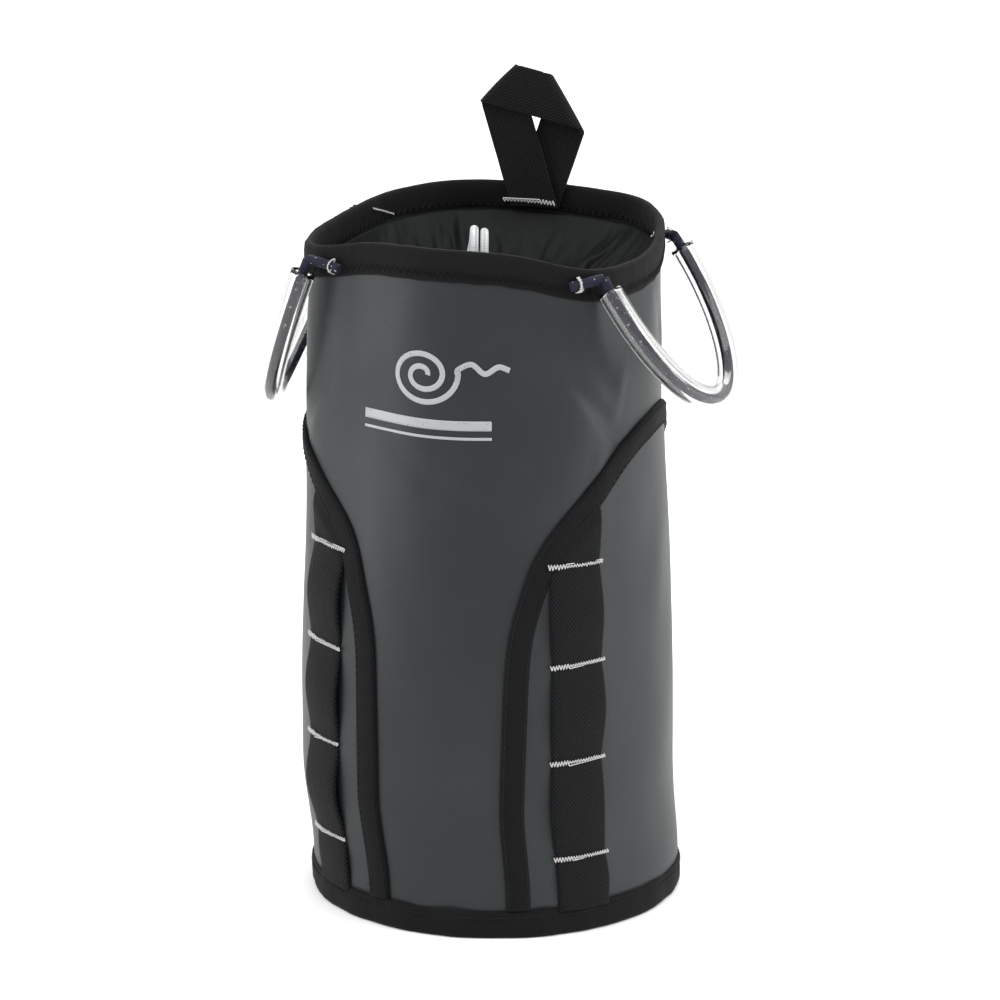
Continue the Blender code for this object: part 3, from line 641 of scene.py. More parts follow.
def wall(turn, z, out=0.0):
    """The point this far outside the wall's outer face."""
    square = eased((z - SQUARE_FROM) / (rim_height(turn) - SQUARE_FROM))
    body = through(BODY, z / MM)
    radius = (body + (through(RIM_RADIUS, half_turn(turn)) - body) * square + softness(turn, z)) * MM + out
    lean = LEAN * eased((z - LEAN_FROM) / (LEAN_TO - LEAN_FROM))
    angle = radians(turn)
    return CENTRE + lean + Vector((radius * sin(angle), -radius * cos(angle), z))


def wall_map(turn, z):
    """A place on the wall as millimetres of cloth."""
    return (radians(turn) * 78, z / MM)


print("front of the mouth at", [round(v / MM, 1) for v in wall(0, rim_height(0))])

# %% [markdown]
# ## The drawcord
# The cords come first, because the rest of the closure is arranged round them. Both ends of one limp cord come out
# of the skirt's hem, dip, pass up through the lock, turn over in two short bights above it and hang inside the bag to
# a knot. Each strand is one smooth curve through its own points, the same as its plain solid's.

# %% Drawcord strands
CLOSURE_TURN = 19.6
THROAT = (-7.0, 3.0, 266.0)
THROAT_RADIUS, HEM_RADIUS = 29.0, 2.6
DRAWCORD_DIAMETER = 0.0036
DRAWCORD_ROUTES = (
    ((-30.4, 9.8, 265.0), (-27.6, 9.8, 258.0), (-24.2, 10.0, 250.5), (-18.8, 9.0, 244.0), (-13.2, 7.9, 242.6),
     (-10.0, 7.1, 245.4), (-9.2, 7.0, 252.0), (-9.2, 7.0, 268.0), (-9.2, 7.0, 279.0), (-9.2, 9.2, 284.9),
     (-9.2, 14.5, 287.3), (-9.4, 19.8, 285.0), (-9.8, 22.2, 280.0), (-11.6, 22.8, 270.0), (-14.5, 23.0, 250.0),
     (-17.0, 22.6, 225.0), (-18.4, 21.2, 195.0), (-18.6, 19.6, 165.0), (-17.2, 18.0, 145.0), (-16.0, 17.2, 137.6)),
    ((-27.3, 16.0, 265.0), (-25.0, 15.4, 257.0), (-21.0, 14.0, 247.5), (-15.0, 11.6, 239.8), (-8.8, 8.8, 238.4),
     (-5.5, 7.4, 243.5), (-4.9, 7.0, 251.0), (-4.9, 7.0, 266.0), (-4.9, 7.0, 278.0), (-4.9, 9.2, 283.9),
     (-4.9, 14.5, 286.1), (-4.9, 19.8, 284.0), (-4.9, 22.2, 279.0), (-5.4, 22.8, 268.0), (-6.8, 22.8, 248.0),
     (-8.6, 22.0, 222.0), (-10.0, 20.4, 192.0), (-10.6, 18.6, 165.0), (-11.2, 17.4, 147.0), (-11.6, 17.2, 137.6)),
)
KNOT = (-13.8, 17.2, 130.0)


def closure_point(x, y, z):
    return CENTRE + Matrix.Rotation(radians(CLOSURE_TURN), 3, "Z") @ Vector((x, y, z)) * MM


for number, route in enumerate(DRAWCORD_ROUTES, start=1):
    line = smooth_route([closure_point(*p) for p in route], 1.5 * MM)
    strand = pipe(f"drawcord_strand_{number}", line, DRAWCORD_DIAMETER / 2, body="closure",
                  nodes=[f"drawcord_{number}"], slot="drawcord", finish=DRAWCORD)
    print(strand.name, "is", round(length_of(line) / MM), "mm long")

# %% [markdown]
# The knot is an overhand knot in both ends together. It is one trefoil of doubled cord, drawn tight, with two short
# tails below it.

# %% Knot and tails
knot_middle = closure_point(*KNOT)


def trefoil(t, size):
    return knot_middle + Vector(((sin(t) + 2 * sin(2 * t)) * size, -sin(3 * t) * size * 1.15,
                                 (cos(t) - 2 * cos(2 * t)) * size * 1.05)) * MM


knot_line = [trefoil(2 * pi * n / 96, 1.55) for n in range(96)]
knot = pipe("drawcord_knot_body", knot_line, DRAWCORD_DIAMETER / 2, closed=True, body="closure",
            nodes=["drawcord_knot"], slot="drawcord", finish=DRAWCORD)
for number, lean in enumerate((-1, 1), start=1):
    foot = [knot_middle + Vector((lean * x, 0.4 * lean * y, z)) * MM
            for x, y, z in ((0.8, 0, -1.5), (1.6, 1, -4), (2.4, 1.4, -6.4), (3.0, 1.6, -7.2))]
    pipe(f"drawcord_tail_{number}", smooth_route(foot, 1 * MM), 1.7 * MM, body="closure",
                      slot="drawcord", finish=DRAWCORD)

# %% [markdown]
# The cord lock keeps its CAD shape. Only its spring is made again, as a finer coil between the same two seats.

# %% Cord lock
LOCK_MIDDLE = (-7.05, 7.0, 258.0)
SPRING_RADIUS, SPRING_WIRE, SPRING_TURNS, SPRING_SEATS = 4.0, 0.4, 3.5, (4.8, 9.8)

lock_x, lock_y, lock_z = LOCK_MIDDLE
coil = []
for n in range(127):
    angle, share = 2 * pi * SPRING_TURNS * n / 126, n / 126
    seat = SPRING_SEATS[0] + (SPRING_SEATS[1] - SPRING_SEATS[0]) * share
    coil.append(closure_point(lock_x + SPRING_RADIUS * cos(angle), lock_y + seat, lock_z + SPRING_RADIUS * sin(angle)))
spring = pipe("lock_spring_coil", coil, SPRING_WIRE * MM, sides=8, body="cord_lock", nodes=["cord_lock_spring"],
              slot="spring_steel", finish=STEEL)
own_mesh(spring)
for node in ("cord_lock_body", "cord_lock_plunger"):
    dress(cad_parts[node], body=None, finish=PLASTIC)
print("spring of", SPRING_TURNS, "turns")

print("two strands end in one knot")

# %% [markdown]
# ## The outer wall
# A fine grid of the wall function, thickened inwards. Its inner face shows in the mouth, so a thin lining skin with
# the duller inner finish lies just inside it.

# %% Outer shell and its inner face
AROUND = 240
SHELL_DROP = 1.8 * MM


def shell_rows(out, bottom, drop, count):
    points, uvs = [], []
    for n in range(count):
        for c in range(AROUND):
            turn = 360 * c / AROUND - 180
            z = bottom + (rim_height(turn) - drop - bottom) * n / (count - 1)
            points.append(wall(turn, z, out))
            uvs.append(wall_map(turn, z))
    return points, uvs


points, uvs = shell_rows(0.0, 1.6 * MM, SHELL_DROP, 110)
shell = link_mesh("outer_wall", points, grid_faces(110, AROUND, True), uvs, nodes=["outer_shell"], slot="tarpaulin",
                  finish=TARPAULIN, around=2 * pi * 78)
thicken(shell, 0.7 * MM, -1)
points, uvs = shell_rows(-0.85 * MM, 10.6 * MM, 3 * MM, 60)
lining = link_mesh("wall_inner_face", points, grid_faces(60, AROUND, True), uvs, slot="tarpaulin", finish=LINING,
                   around=2 * pi * 78)
thicken(lining, 0.15 * MM, -1)
print("wall grid:", len(shell.data.vertices), "points")

# %% [markdown]
# ## Flat patterns wrapped on the wall
# The side panels, the seam tape and the webbings start as the flat shapes they are cut from. A flat outline is sliced
# by a grid, then each point is laid on the wall. This keeps edges clean, where a trimmed grid would leave steps.

# %% Wrapping helper


def wrapped(name, outline, out, thickness, columns, rows, **dressing):
    """A flat outline of (turn, height) points, cut at these columns and rows and laid on the wall."""
    shape = bmesh.new()
    shape.faces.new([shape.verts.new((t, z / MM, 0)) for t, z in outline])
    shape.normal_update()
    if next(iter(shape.faces)).normal.z < 0:
        bmesh.ops.reverse_faces(shape, faces=shape.faces[:])
    for places, normal in ((columns, (1, 0, 0)), ([z / MM for z in rows], (0, 1, 0))):
        for place in places:
            everything = shape.verts[:] + shape.edges[:] + shape.faces[:]
            bmesh.ops.bisect_plane(shape, geom=everything, plane_co=[place * v for v in normal], plane_no=normal,
                                   dist=1e-5)
    shape.verts.index_update()
    points = [wall(v.co.x, v.co.y * MM, out) for v in shape.verts]
    uvs = [wall_map(v.co.x, v.co.y * MM) for v in shape.verts]
    faces = [[v.index for v in face.verts] for face in shape.faces]
    shape.free()
    obj = link_mesh(name, points, faces, uvs, **dressing)
    return thicken(obj, abs(thickness), 1 if thickness > 0 else -1)


def steps(low, high, step):
    return [n * step for n in range(int(floor(low / step)) + 1, int(floor(high / step)) + 1)]


# %% [markdown]
# ## Side panels and their binding
# Each side has a second layer of tarpaulin with an arched top edge. The edge is bound with tape that starts beside
# the front panel, climbs and sweeps over the side. The front panel is turned a little to the right, so both sides
# share one path that is shifted by that turn.

# %% Side panels
FRONT_TURN = 3.5
TAPE_WIDTH = 11 * MM
TAPE_PATH = ((23, 11), (24, 80), (25.5, 125), (29.5, 148), (36, 168), (48, 186.5), (66, 207), (90, 214))
LEFT_ARCH = (168, 0.83)
PER_DEGREE = radians(1) * 79 * MM
SIDES = ((1, "right"), (-1, "left"))

half_path = [(t * PER_DEGREE, z * MM, 0) for t, z in TAPE_PATH]
whole_path = half_path + [(2 * half_path[-1][0] - s, z, 0) for s, z, _ in half_path[-2::-1]]
TAPE_STEP = 2.5 * MM
TAPE_LINE = smooth_route(whole_path, TAPE_STEP)


def tape_edge(side, offset):
    """The tape's centre line moved into the panel, as (turn, height) points."""
    edge = []
    for n, point in enumerate(TAPE_LINE):
        along = (TAPE_LINE[min(n + 1, len(TAPE_LINE) - 1)] - TAPE_LINE[max(n - 1, 0)]).normalized()
        spot = point + Vector((along.y, -along.x, 0)) * offset
        height = spot.y
        if side < 0 and height > LEFT_ARCH[0] * MM:
            height = LEFT_ARCH[0] * MM + (height - LEFT_ARCH[0] * MM) * LEFT_ARCH[1]
        edge.append((side * spot.x / PER_DEGREE + FRONT_TURN, height))
    return edge


for side, side_name in SIDES:
    foot = BASE_TOP + 0.2 * MM
    arch = [p for p in tape_edge(side, 1 * MM) if p[1] > foot + 2 * MM]
    outline = [(arch[0][0], foot), *arch, (arch[-1][0], foot)]
    turns = [p[0] for p in outline]
    panel = wrapped(f"side_panel_skin_{side_name}", outline, 0.25 * MM, 0.75 * MM, steps(min(turns), max(turns), 2.5),
                    steps(foot, max(p[1] for p in outline), 5 * MM), nodes=[f"side_panel_{side_name}"],
                    slot="tarpaulin", finish=TARPAULIN)
    print(panel.name, len(panel.data.vertices), "points")

# %% [markdown]
# The binding tape is folded over the panel's raw edge, so it is a little crowned across and slightly uneven along
# its length. A row of lock stitches runs near each edge, each stitch a short raised loop of black thread.

# %% Bound edges


STITCH, STITCH_GAP, STITCH_STEP, STITCH_RADIUS, STITCH_SIDES = 2.6 * MM, 0.8 * MM, 0.65 * MM, 0.24 * MM, 6


def stitched_row(name, line):
    """A row of short raised stitches along a line of (point, outward) pairs."""
    middle = spaced([p for p, _ in line], STITCH_STEP)
    outward = [o for _, o in line]
    points, faces, uvs = [], [], []
    per, skip, sides = round(STITCH / STITCH_STEP), round(STITCH_GAP / STITCH_STEP), STITCH_SIDES
    place = 0
    while place + per < len(middle):
        piece = middle[place:place + per + 1]
        start = len(points)
        for n, point in enumerate(piece):
            share = n / per
            up = outward[min(int((place + n) / len(middle) * len(outward)), len(outward) - 1)]
            along = (piece[min(n + 1, per)] - piece[max(n - 1, 0)]).normalized()
            aside = along.cross(up).normalized()
            centre = point + up * STITCH_RADIUS * (1.1 * sin(pi * share) - 0.7)
            size = STITCH_RADIUS * (0.75 + 0.25 * sin(pi * share))
            for s in range(sides):
                angle = 2 * pi * s / sides
                points.append(centre + (aside * cos(angle) + up * sin(angle)) * size)
                uvs.append((share * STITCH / MM, angle * STITCH_RADIUS / MM))
        faces += [[start + v for v in face] for face in grid_faces(per + 1, sides, True)]
        faces.append([start + s for s in range(sides)][::-1])
        faces.append([start + per * sides + s for s in range(sides)])
        place += per + skip
    return link_mesh(name, points, faces, uvs, finish=BLACK_THREAD, slot="binding_tape")


def outward_at(turn):
    return Vector((sin(radians(turn)), -cos(radians(turn)), 0))


CROWN = ((-0.5, 0.35), (-0.46, 1.45), (-0.3, 1.95), (0, 2.1), (0.3, 1.95), (0.46, 1.45), (0.5, 0.35))
for side, side_name in SIDES:
    rows, maps = [], []
    for share, lift in CROWN if side < 0 else CROWN[::-1]:
        for n, (turn, z) in enumerate(tape_edge(side, share * TAPE_WIDTH)):
            wobble = 0.18 * noise(Vector((n * 0.21, share * 3, side * 5.0)))
            z = max(z, BASE_TOP + 0.2 * MM)
            rows.append(wall(turn, z, (lift + wobble) * MM))
            maps.append((n * TAPE_STEP / MM, share * TAPE_WIDTH / MM))
    binding = link_mesh(f"panel_tape_{side_name}", rows, grid_faces(len(CROWN), len(TAPE_LINE)), maps,
                        nodes=[f"panel_binding_{side_name}"], slot="binding_tape", finish=BINDING)
    thicken(binding, 0.3 * MM, -1)
    for row_name, share in (("inner", 0.36), ("outer", -0.36)):
        line = [(wall(t, max(z, BASE_TOP + 1 * MM), 1.85 * MM), outward_at(t))
                for t, z in tape_edge(side, share * TAPE_WIDTH)]
        stitched_row(f"panel_stitches_{side_name}_{row_name}", line)
print("both arches bound and stitched")

# %% [markdown]
# ## Daisy chains
# A strap 25 mm wide runs up each side from the base binding to under the tape. Bar tacks every 43 mm hold it down,
# and between them it stands off the panel, which gives the loops that small tools clip to. The strap is a thick sheet
# with rounded selvedges. It is pulled in a little at each tack.

# %% Daisy webbing
WEBBING_WIDTH = 25 * MM
DAISY_TURN = 44.5
TACKS = [z * MM for z in (34.6, 77.6, 120.6, 163.6)]
LOOP_BULGE = 2.4 * MM
BOTTOM_BULGE, TOP_BULGE = 0.35, 0.5
STRAP_ROWS, SINK_LENGTH = 130, 9 * MM
HALF_STRAP = degrees(WEBBING_WIDTH / 2 / (80 * MM))


def daisy_rise(turn, z):
    spots = [BASE_TOP, *TACKS, TACKS[-1] + 40 * MM]
    for n, (low, high) in enumerate(zip(spots, spots[1:])):
        if low < z < high:
            size = {0: BOTTOM_BULGE, len(spots) - 2: TOP_BULGE}.get(n, 1.0)
            return LOOP_BULGE * size * sin(pi * (z - low) / (high - low)) ** 1.6
    return 0.0


def pulled_in(z):
    """How much narrower the strap is near a tack, in degrees each side."""
    near = min(abs(z - tack) for tack in TACKS)
    return 0.45 * max(0.0, 1 - near / (5 * MM)) ** 2


STRAP_SECTION = ((-1.0, 0.0), (-0.97, 1.0), (-0.9, 1.35), (-0.6, 1.3), (-0.2, 1.38), (0.2, 1.38), (0.6, 1.3),
                 (0.9, 1.35), (0.97, 1.0), (1.0, 0.0))
for side, side_name in SIDES:
    middle = side * DAISY_TURN + FRONT_TURN
    low = BASE_TOP - 1.5 * MM
    under = sorted(tape_edge(side, 2 * MM), key=lambda p: abs(p[0] - FRONT_TURN))

    def under_tape(turn):
        for a, b in zip(under, under[1:]):
            if (a[0] - turn) * (b[0] - turn) <= 0 and a[0] != b[0]:
                return a[1] + (b[1] - a[1]) * (turn - a[0]) / (b[0] - a[0])
        return under[-1][1]

    points, uvs = [], []
    for n in range(STRAP_ROWS):
        for share, lift in STRAP_SECTION:
            top = under_tape(middle + share * HALF_STRAP)
            z = low + (top - low) * n / (STRAP_ROWS - 1)
            turn = middle + share * (HALF_STRAP - pulled_in(z))
            sink = eased((z - (top - SINK_LENGTH)) / SINK_LENGTH)
            edge_curl = -0.25 * share * share
            raised = daisy_rise(turn, z) * (1 - 0.35 * sink) + (1.15 + lift + edge_curl - 1.1 * sink) * MM
            points.append(wall(turn, z, max(raised, 0.3 * MM)))
            uvs.append((z / MM, share * WEBBING_WIDTH / 2 / MM))
    strap = link_mesh(f"daisy_strap_{side_name}", points, grid_faces(STRAP_ROWS, len(STRAP_SECTION)), uvs,
                      nodes=[f"daisy_webbing_{side_name}"], slot="webbing", finish=WEBBING)
    thicken(strap, 0.9 * MM, -1)
print("straps stand off by", round(LOOP_BULGE / MM, 1), "mm between tacks")

# %% [markdown]
# A bar tack is a dense zigzag of pale thread. It is drawn as the machine sews it: one thread that crosses the strap in
# tight zigzags, and goes over the first third twice to lock its start.

# %% Bar tacks


def curved_tack(name, places, height, nodes=(), pitch=1.3 * MM, radius=0.24 * MM):
    """A zigzag along a curved line of (point, outward) places. The first third is sewn twice, and wider."""
    middle = spaced([p for p, _ in places], pitch / 2)
    outward = [places[min(int(n / len(middle) * len(places)), len(places) - 1)][1] for n in range(len(middle))]

    def zigzag(first, last, tall, lift, seed):
        line = []
        for n in range(first, last):
            along = (middle[min(n + 1, len(middle) - 1)] - middle[max(n - 1, 0)]).normalized()
            up = along.cross(outward[n]).normalized()
            uneven = 1 + 0.45 * noise(Vector((n * 0.9, places[0][0].z * 400, seed)))
            line.append(middle[n] + up * (tall / 2) * (1 if n % 2 else -1) * uneven
                        + outward[n] * (lift + 0.12 * (n % 2)) * MM)
        return line

    path = zigzag(0, len(middle), height * 0.62, 0.0, 2.0)
    path += zigzag(0, len(middle) // 3, height, 0.22, 5.0)[::-1] if len(middle) > 9 else []
    return pipe(name, spaced(path, 0.5 * MM), radius, sides=6, nodes=nodes, slot="thread", finish=THREAD)


for side, side_name in SIDES:
    middle = side * DAISY_TURN + FRONT_TURN
    for count, z in enumerate(reversed(TACKS), start=1):
        places = []
        for n in range(13):
            share = n / 6 - 1
            turn = middle + share * (HALF_STRAP + 0.5)
            slope = 0.9 * MM * noise(Vector((count * 3.3, side * 2.0, 0.5))) * share
            places.append((wall(turn, z + slope, 2.75 * MM - 0.3 * share * share * MM), outward_at(turn)))
        curved_tack(f"daisy_bar_tack_{side_name}_{count}", places, 2.3 * MM, [f"daisy_tack_{side_name}_{count}"])
print("eight bar tacks sewn")

# %% [markdown]
# ## Base
# The bottom panel is a plain disc that keeps its CAD shape. The seam between it and the wall is bound by a folded
# tape, which ripples a little where it is eased round the curve.

# %% Base binding
BASE_SECTION = ((77.7, 12.4), (79.2, 12.7), (79.9, 11.6), (80.1, 7.0), (80.0, 2.2), (79.3, 0.5), (78.0, 0.0),
                (76.0, 0.1), (74.7, 0.8), (74.5, 4.0), (74.9, 8.3), (75.7, 8.4))
rows, maps = [], []
for n, (r, z) in enumerate(BASE_SECTION):
    for c in range(AROUND):
        turn = 360 * c / AROUND
        a = radians(turn)
        ripple = noise(Vector((cos(a) * 6, sin(a) * 6, n * 0.12))) * 0.75
        fine = noise(Vector((cos(a) * 22, sin(a) * 22, n * 0.3 + 9))) * 0.25
        outer = 1.0 if r > 77.5 else 0.25
        radius = (r + (ripple + fine) * outer) * MM
        height = max(z + (ripple * 0.9 if z > 10 else 0), 0.0) * MM
        rows.append(CENTRE + Vector((radius * sin(a), -radius * cos(a), height)))
        maps.append((a * 79, n * 2.6))
base_tape = link_mesh("base_tape", rows, [f[::-1] for f in grid_faces(len(BASE_SECTION), AROUND, True)], maps,
                      nodes=["base_binding"], slot="binding_tape", finish=BINDING, around=2 * pi * 79)
thicken(base_tape, 0.35 * MM, -1)
line = [(CENTRE + outward_at(t) * 80.15 * MM + Vector((0, 0, 9.6 * MM)), outward_at(t)) for t in range(0, 361, 3)]
stitched_row("base_stitches", line)
dress(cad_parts["base_disc"], body=None, finish=TARPAULIN)
print("base tape is", round(max(p.z for p in rows) / MM, 1), "mm tall")

# %% [markdown]
# ## Rim binding
# The same tape, folded over the mouth's raw edge. A zigzag stitch near its lower edge holds both sides at once. The
# section is rounded over the top, and the tape puckers slightly along the stitches.

# %% Rim binding
RIM_SECTION = ((0.15, 13.6), (0.9, 13.7), (1.35, 12.6), (1.15, 10.8), (1.5, 8.0), (1.6, 4.0), (1.3, 1.2), (0.3, 0.0),
               (-1.3, 0.0), (-2.3, 1.2), (-2.6, 4.0), (-2.5, 8.0), (-2.2, 10.6), (-2.3, 11.8), (-1.5, 12.2))
rows, maps = [], []
for n, (out, drop) in enumerate(RIM_SECTION):
    for c in range(AROUND):
        turn = 360 * c / AROUND
        a = radians(turn)
        pucker = 0.28 * noise(Vector((cos(a) * 30, sin(a) * 30, n * 0.25)))
        wave = 0.5 * noise(Vector((cos(a) * 7, sin(a) * 7, 4.0)))
        z = rim_height(turn) - (drop + (wave if drop > 10 else 0.3 * wave)) * MM
        rows.append(wall(turn, z, (out + pucker * (1 if out > 0 else -1)) * MM))
        maps.append((a * 76, n * 2.4))
rim_tape = link_mesh("rim_tape", rows, grid_faces(len(RIM_SECTION), AROUND, True), maps, nodes=["rim_binding"],
                     slot="binding_tape", finish=BINDING, around=2 * pi * 76)
thicken(rim_tape, 0.35 * MM, -1)


def zigzag_round(name, drop, out, width, pitch):
    """A zigzag stitch right round the mouth."""
    count = round(2 * pi * 76 * MM / pitch) * 2
    line = []
    for n in range(count):
        turn = 360 * n / count
        z = rim_height(turn) - (drop + (width / 2 if n % 2 else -width / 2)) * MM
        line.append(wall(turn, z, out * MM))
    return pipe(name, line, 0.24 * MM, sides=6, closed=True, slot="binding_tape", finish=BLACK_THREAD)


zigzag_round("rim_zigzag_outside", 10.2, 1.65, 2.6, 3.2 * MM)
zigzag_round("rim_zigzag_inside", 9.6, -2.75, 2.6, 3.2 * MM)
print("rim runs from", round(rim_height(90) / MM, 1), "to", round(rim_height(0) / MM, 1), "mm")

# %% [markdown]
# ## Back seam
# The wall's two edges meet at the back, under a tape on the inside. Outside, the seam shows as a slight step with two
# rows of stitches.

# %% Seam tape and seam stitches
half = 4.4
low, high = 13 * MM, rim_height(180) - 13.5 * MM
outline = ((180 - half, low), (180 + half, low), (180 + half, high), (180 - half, high))
wrapped("seam_tape", outline, -1.25 * MM, -0.45 * MM, steps(180 - half, 180 + half, 2.2), steps(low, high, 6 * MM),
        nodes=["back_seam_tape"], slot="binding_tape", finish=BINDING)
for name, turn in (("left", 181.6), ("right", 178.4)):
    line = [(wall(turn, z * MM, 0.12 * MM), outward_at(turn)) for z in range(16, 279, 4)]
    stitched_row(f"back_seam_stitches_{name}", line)
print("back seam sewn")

# %% [markdown]
# ## Haul handle
# One strap is folded flat at two corners, so that its two arms cross where they are sewn inside the rim. The flat
# strap is sliced along the two slanting fold lines, then rolled round each fold in turn. The same mapping made the
# CAD solid. Here the strap has a rounded section, and its sewn feet are part of the same piece.

# %% Handle mapping
HANDLE_TURN = 185
STRAP_WIDTH, STRAP_THICKNESS = 20.0, 1.6
ARM_FOOT, ARM_DIRECTION = (-0.77, 0.0), 106.7
FOLDS = (((-24.0, 34.9), 47.2, 1.6), ((18.6, 36.7), -60.3, 2.7))
HANDLE_AXIS = (4.5, -1.1)
HANDLE_FOOT = -9.5


def handle_point(across, up, depth):
    """A point of the handle's own frame: along the rim, up from the rim's top, and in towards the bag."""
    angle = radians(HANDLE_TURN)
    foot = wall(HANDLE_TURN, rim_height(HANDLE_TURN), -5.8 * MM)
    right = Vector((-cos(angle), -sin(angle), 0))
    inwards = Vector((-sin(angle), cos(angle), 0))
    return foot + (right * across + inwards * depth + Vector((0, 0, up))) * MM


def direction(angle):
    return Vector((cos(radians(angle)), sin(radians(angle)), 0))


def mirrored(point, line):
    along = direction(line[1])
    foot = Vector((*line[0], 0))
    return foot + 2 * along * along.dot(point - foot) - (point - foot)


def roll(point, foot, normal, radius):
    """Takes a point of the flat strap, at height z over it, round a fold of this radius."""
    q = (point - foot).dot(normal) + pi * radius / 2
    if q <= 0:
        return point
    if q < pi * radius:
        across = (radius - point.z) * sin(q / radius)
        depth = radius - (radius - point.z) * cos(q / radius)
    else:
        across = pi * radius - q
        depth = 2 * radius - point.z
    flat = point + normal * (across - q)
    return Vector((flat.x, flat.y, depth))


# %% Handle strap
strap_along, strap_beside = direction(ARM_DIRECTION), direction(ARM_DIRECTION - 90)
strap_foot = Vector((*ARM_FOOT, 0))
shape = bmesh.new()
corners = [strap_foot + strap_along * s + strap_beside * t * STRAP_WIDTH / 2
           for s, t in ((-25, -1), (-25, 1), (180, 1), (180, -1))]
shape.faces.new([shape.verts.new(p) for p in corners])
shape.normal_update()
if next(iter(shape.faces)).normal.z < 0:
    bmesh.ops.reverse_faces(shape, faces=shape.faces[:])


def slice_strap(point, normal, keep_inner=False):
    everything = shape.verts[:] + shape.edges[:] + shape.faces[:]
    bmesh.ops.bisect_plane(shape, geom=everything, plane_co=point, plane_no=normal, dist=1e-5,
                           clear_outer=keep_inner)


first_foot, first_normal = Vector((*FOLDS[0][0], 0)), direction(FOLDS[0][1] + 90)
second_foot = mirrored(Vector((*FOLDS[1][0], 0)), FOLDS[0])
second_normal = direction(2 * FOLDS[0][1] - (FOLDS[1][1] + 90))
level, under = Vector((0, HANDLE_FOOT, 0)), Vector((0, HANDLE_FOOT - 1, 0))
unfolded = (second_foot[:2], 2 * FOLDS[0][1] - FOLDS[1][1], 0)
end = mirrored(mirrored(level, FOLDS[0]), unfolded)
slice_strap(level, (0, -1, 0), True)
slice_strap(end, mirrored(mirrored(under, FOLDS[0]), unfolded) - end, True)
for spot, normal, radius in ((first_foot, first_normal, FOLDS[0][2]), (second_foot, second_normal, FOLDS[1][2])):
    for n in range(13):
        slice_strap(spot + normal * pi * radius * (n / 12 - 0.5), normal)
for n in range(-24, 180, 2):
    slice_strap(strap_foot + strap_along * n, strap_along)
for n in range(-9, 10, 2):
    slice_strap(strap_foot + strap_beside * n, strap_beside)
shape.verts.index_update()
points, uvs = [], []
for vert in shape.verts:
    s, t = (vert.co - strap_foot).dot(strap_along), (vert.co - strap_foot).dot(strap_beside)
    cup = 0.3 * (t / 10) ** 2 + 0.35 * noise(Vector((s * 0.05, t * 0.05, 1.5)))
    point = roll(Vector((vert.co.x, vert.co.y, cup)), second_foot, second_normal, FOLDS[1][2])
    point = roll(point, first_foot, first_normal, FOLDS[0][2])
    curl = point.x ** 2 / 158 * (1 - eased(point.y / 14))
    points.append(handle_point(point.x, point.y, point.z + curl))
    uvs.append((s, t))
faces = [[v.index for v in face.verts] for face in shape.faces]
shape.free()
pivot = handle_point(0, HANDLE_AXIS[0], HANDLE_AXIS[1])
handle = link_mesh("haul_strap", points, faces, uvs, body=None, nodes=["haul_handle", "haul_handle_anchor"],
                   slot="webbing", finish=WEBBING)
settle(thicken(handle, STRAP_THICKNESS * MM, 0, bevel=0.35 * MM))
handle.data.shade_smooth()
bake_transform(handle)
print("strap is", round(max(v[0] for v in uvs) - min(v[0] for v in uvs)), "mm from foot to foot")

# %% Handle bar tack
places = []
for n in range(13):
    turn = HANDLE_TURN - 9.3 + 18.6 * n / 12
    places.append((wall(turn, 286 * MM, -7.5 * MM), -outward_at(turn)))
curved_tack("haul_bar_tack", places, 2.2 * MM, ["haul_handle_tack"], pitch=1.5 * MM)
print("handle sewn inside the rim")

# %% [markdown]
# ## Gear loops
# Each loop is a length of clear tube over a cord. The tube's shape is two short necks and half an ellipse, hanging
# from two points on the rim. The cord leaves the tube at both ends, where it is sewn flat on the outside of the
# binding. The loop swings about the line through both points.

# %% Loop geometry
GEAR_LOOPS = {
    "right": {"side": 1, "front": (55.4, 5.6, 287.2), "back": (120, 5.6, 284.7), "tilt": 33, "neck": 10.3,
              "half": (44.8, 57.3),
              "front_tail": ((53, 4.9, 286.6), (50, 4.0, 285.4), (46, 3.85, 284.2)),
              "back_tail": ((122.4, 4.9, 284.1), (125.4, 4.0, 283.0), (129.4, 3.85, 282.0)),
              "front_tack": (48.5, 284.9), "back_tack": (126.9, 282.6)},
    "left": {"side": -1, "front": (48, 7.0, 286.1), "back": (115, 7.0, 285.5), "tilt": 19.3, "neck": 8.4,
             "half": (45.8, 67.0),
             "front_tail": ((45.5, 5.3, 285.7), (43, 4.0, 285.0), (38, 3.85, 284.2)),
             "back_tail": ((117.5, 5.4, 285.0), (120, 4.05, 284.3), (125, 3.85, 283.4)),
             "front_tack": (40.6, 284.6), "back_tack": (122.6, 283.8)},
}
TUBE_RADIUS, TUBE_BORE, LOOP_CORD_RADIUS = 5.25 * MM, 3.75 * MM, 2.2 * MM
TUBE_FROM_PIVOT = 5.6 * MM


def loop_end(loop, which):
    turn, out, z = loop[which]
    return smooth_wall(loop["side"] * turn, z * MM, out * MM)


def smooth_wall(turn, z, out):
    """The wall without its dents, as the CAD has it."""
    spot = wall(turn, z, out)
    return spot - outward_at(turn) * softness(turn, z) * MM


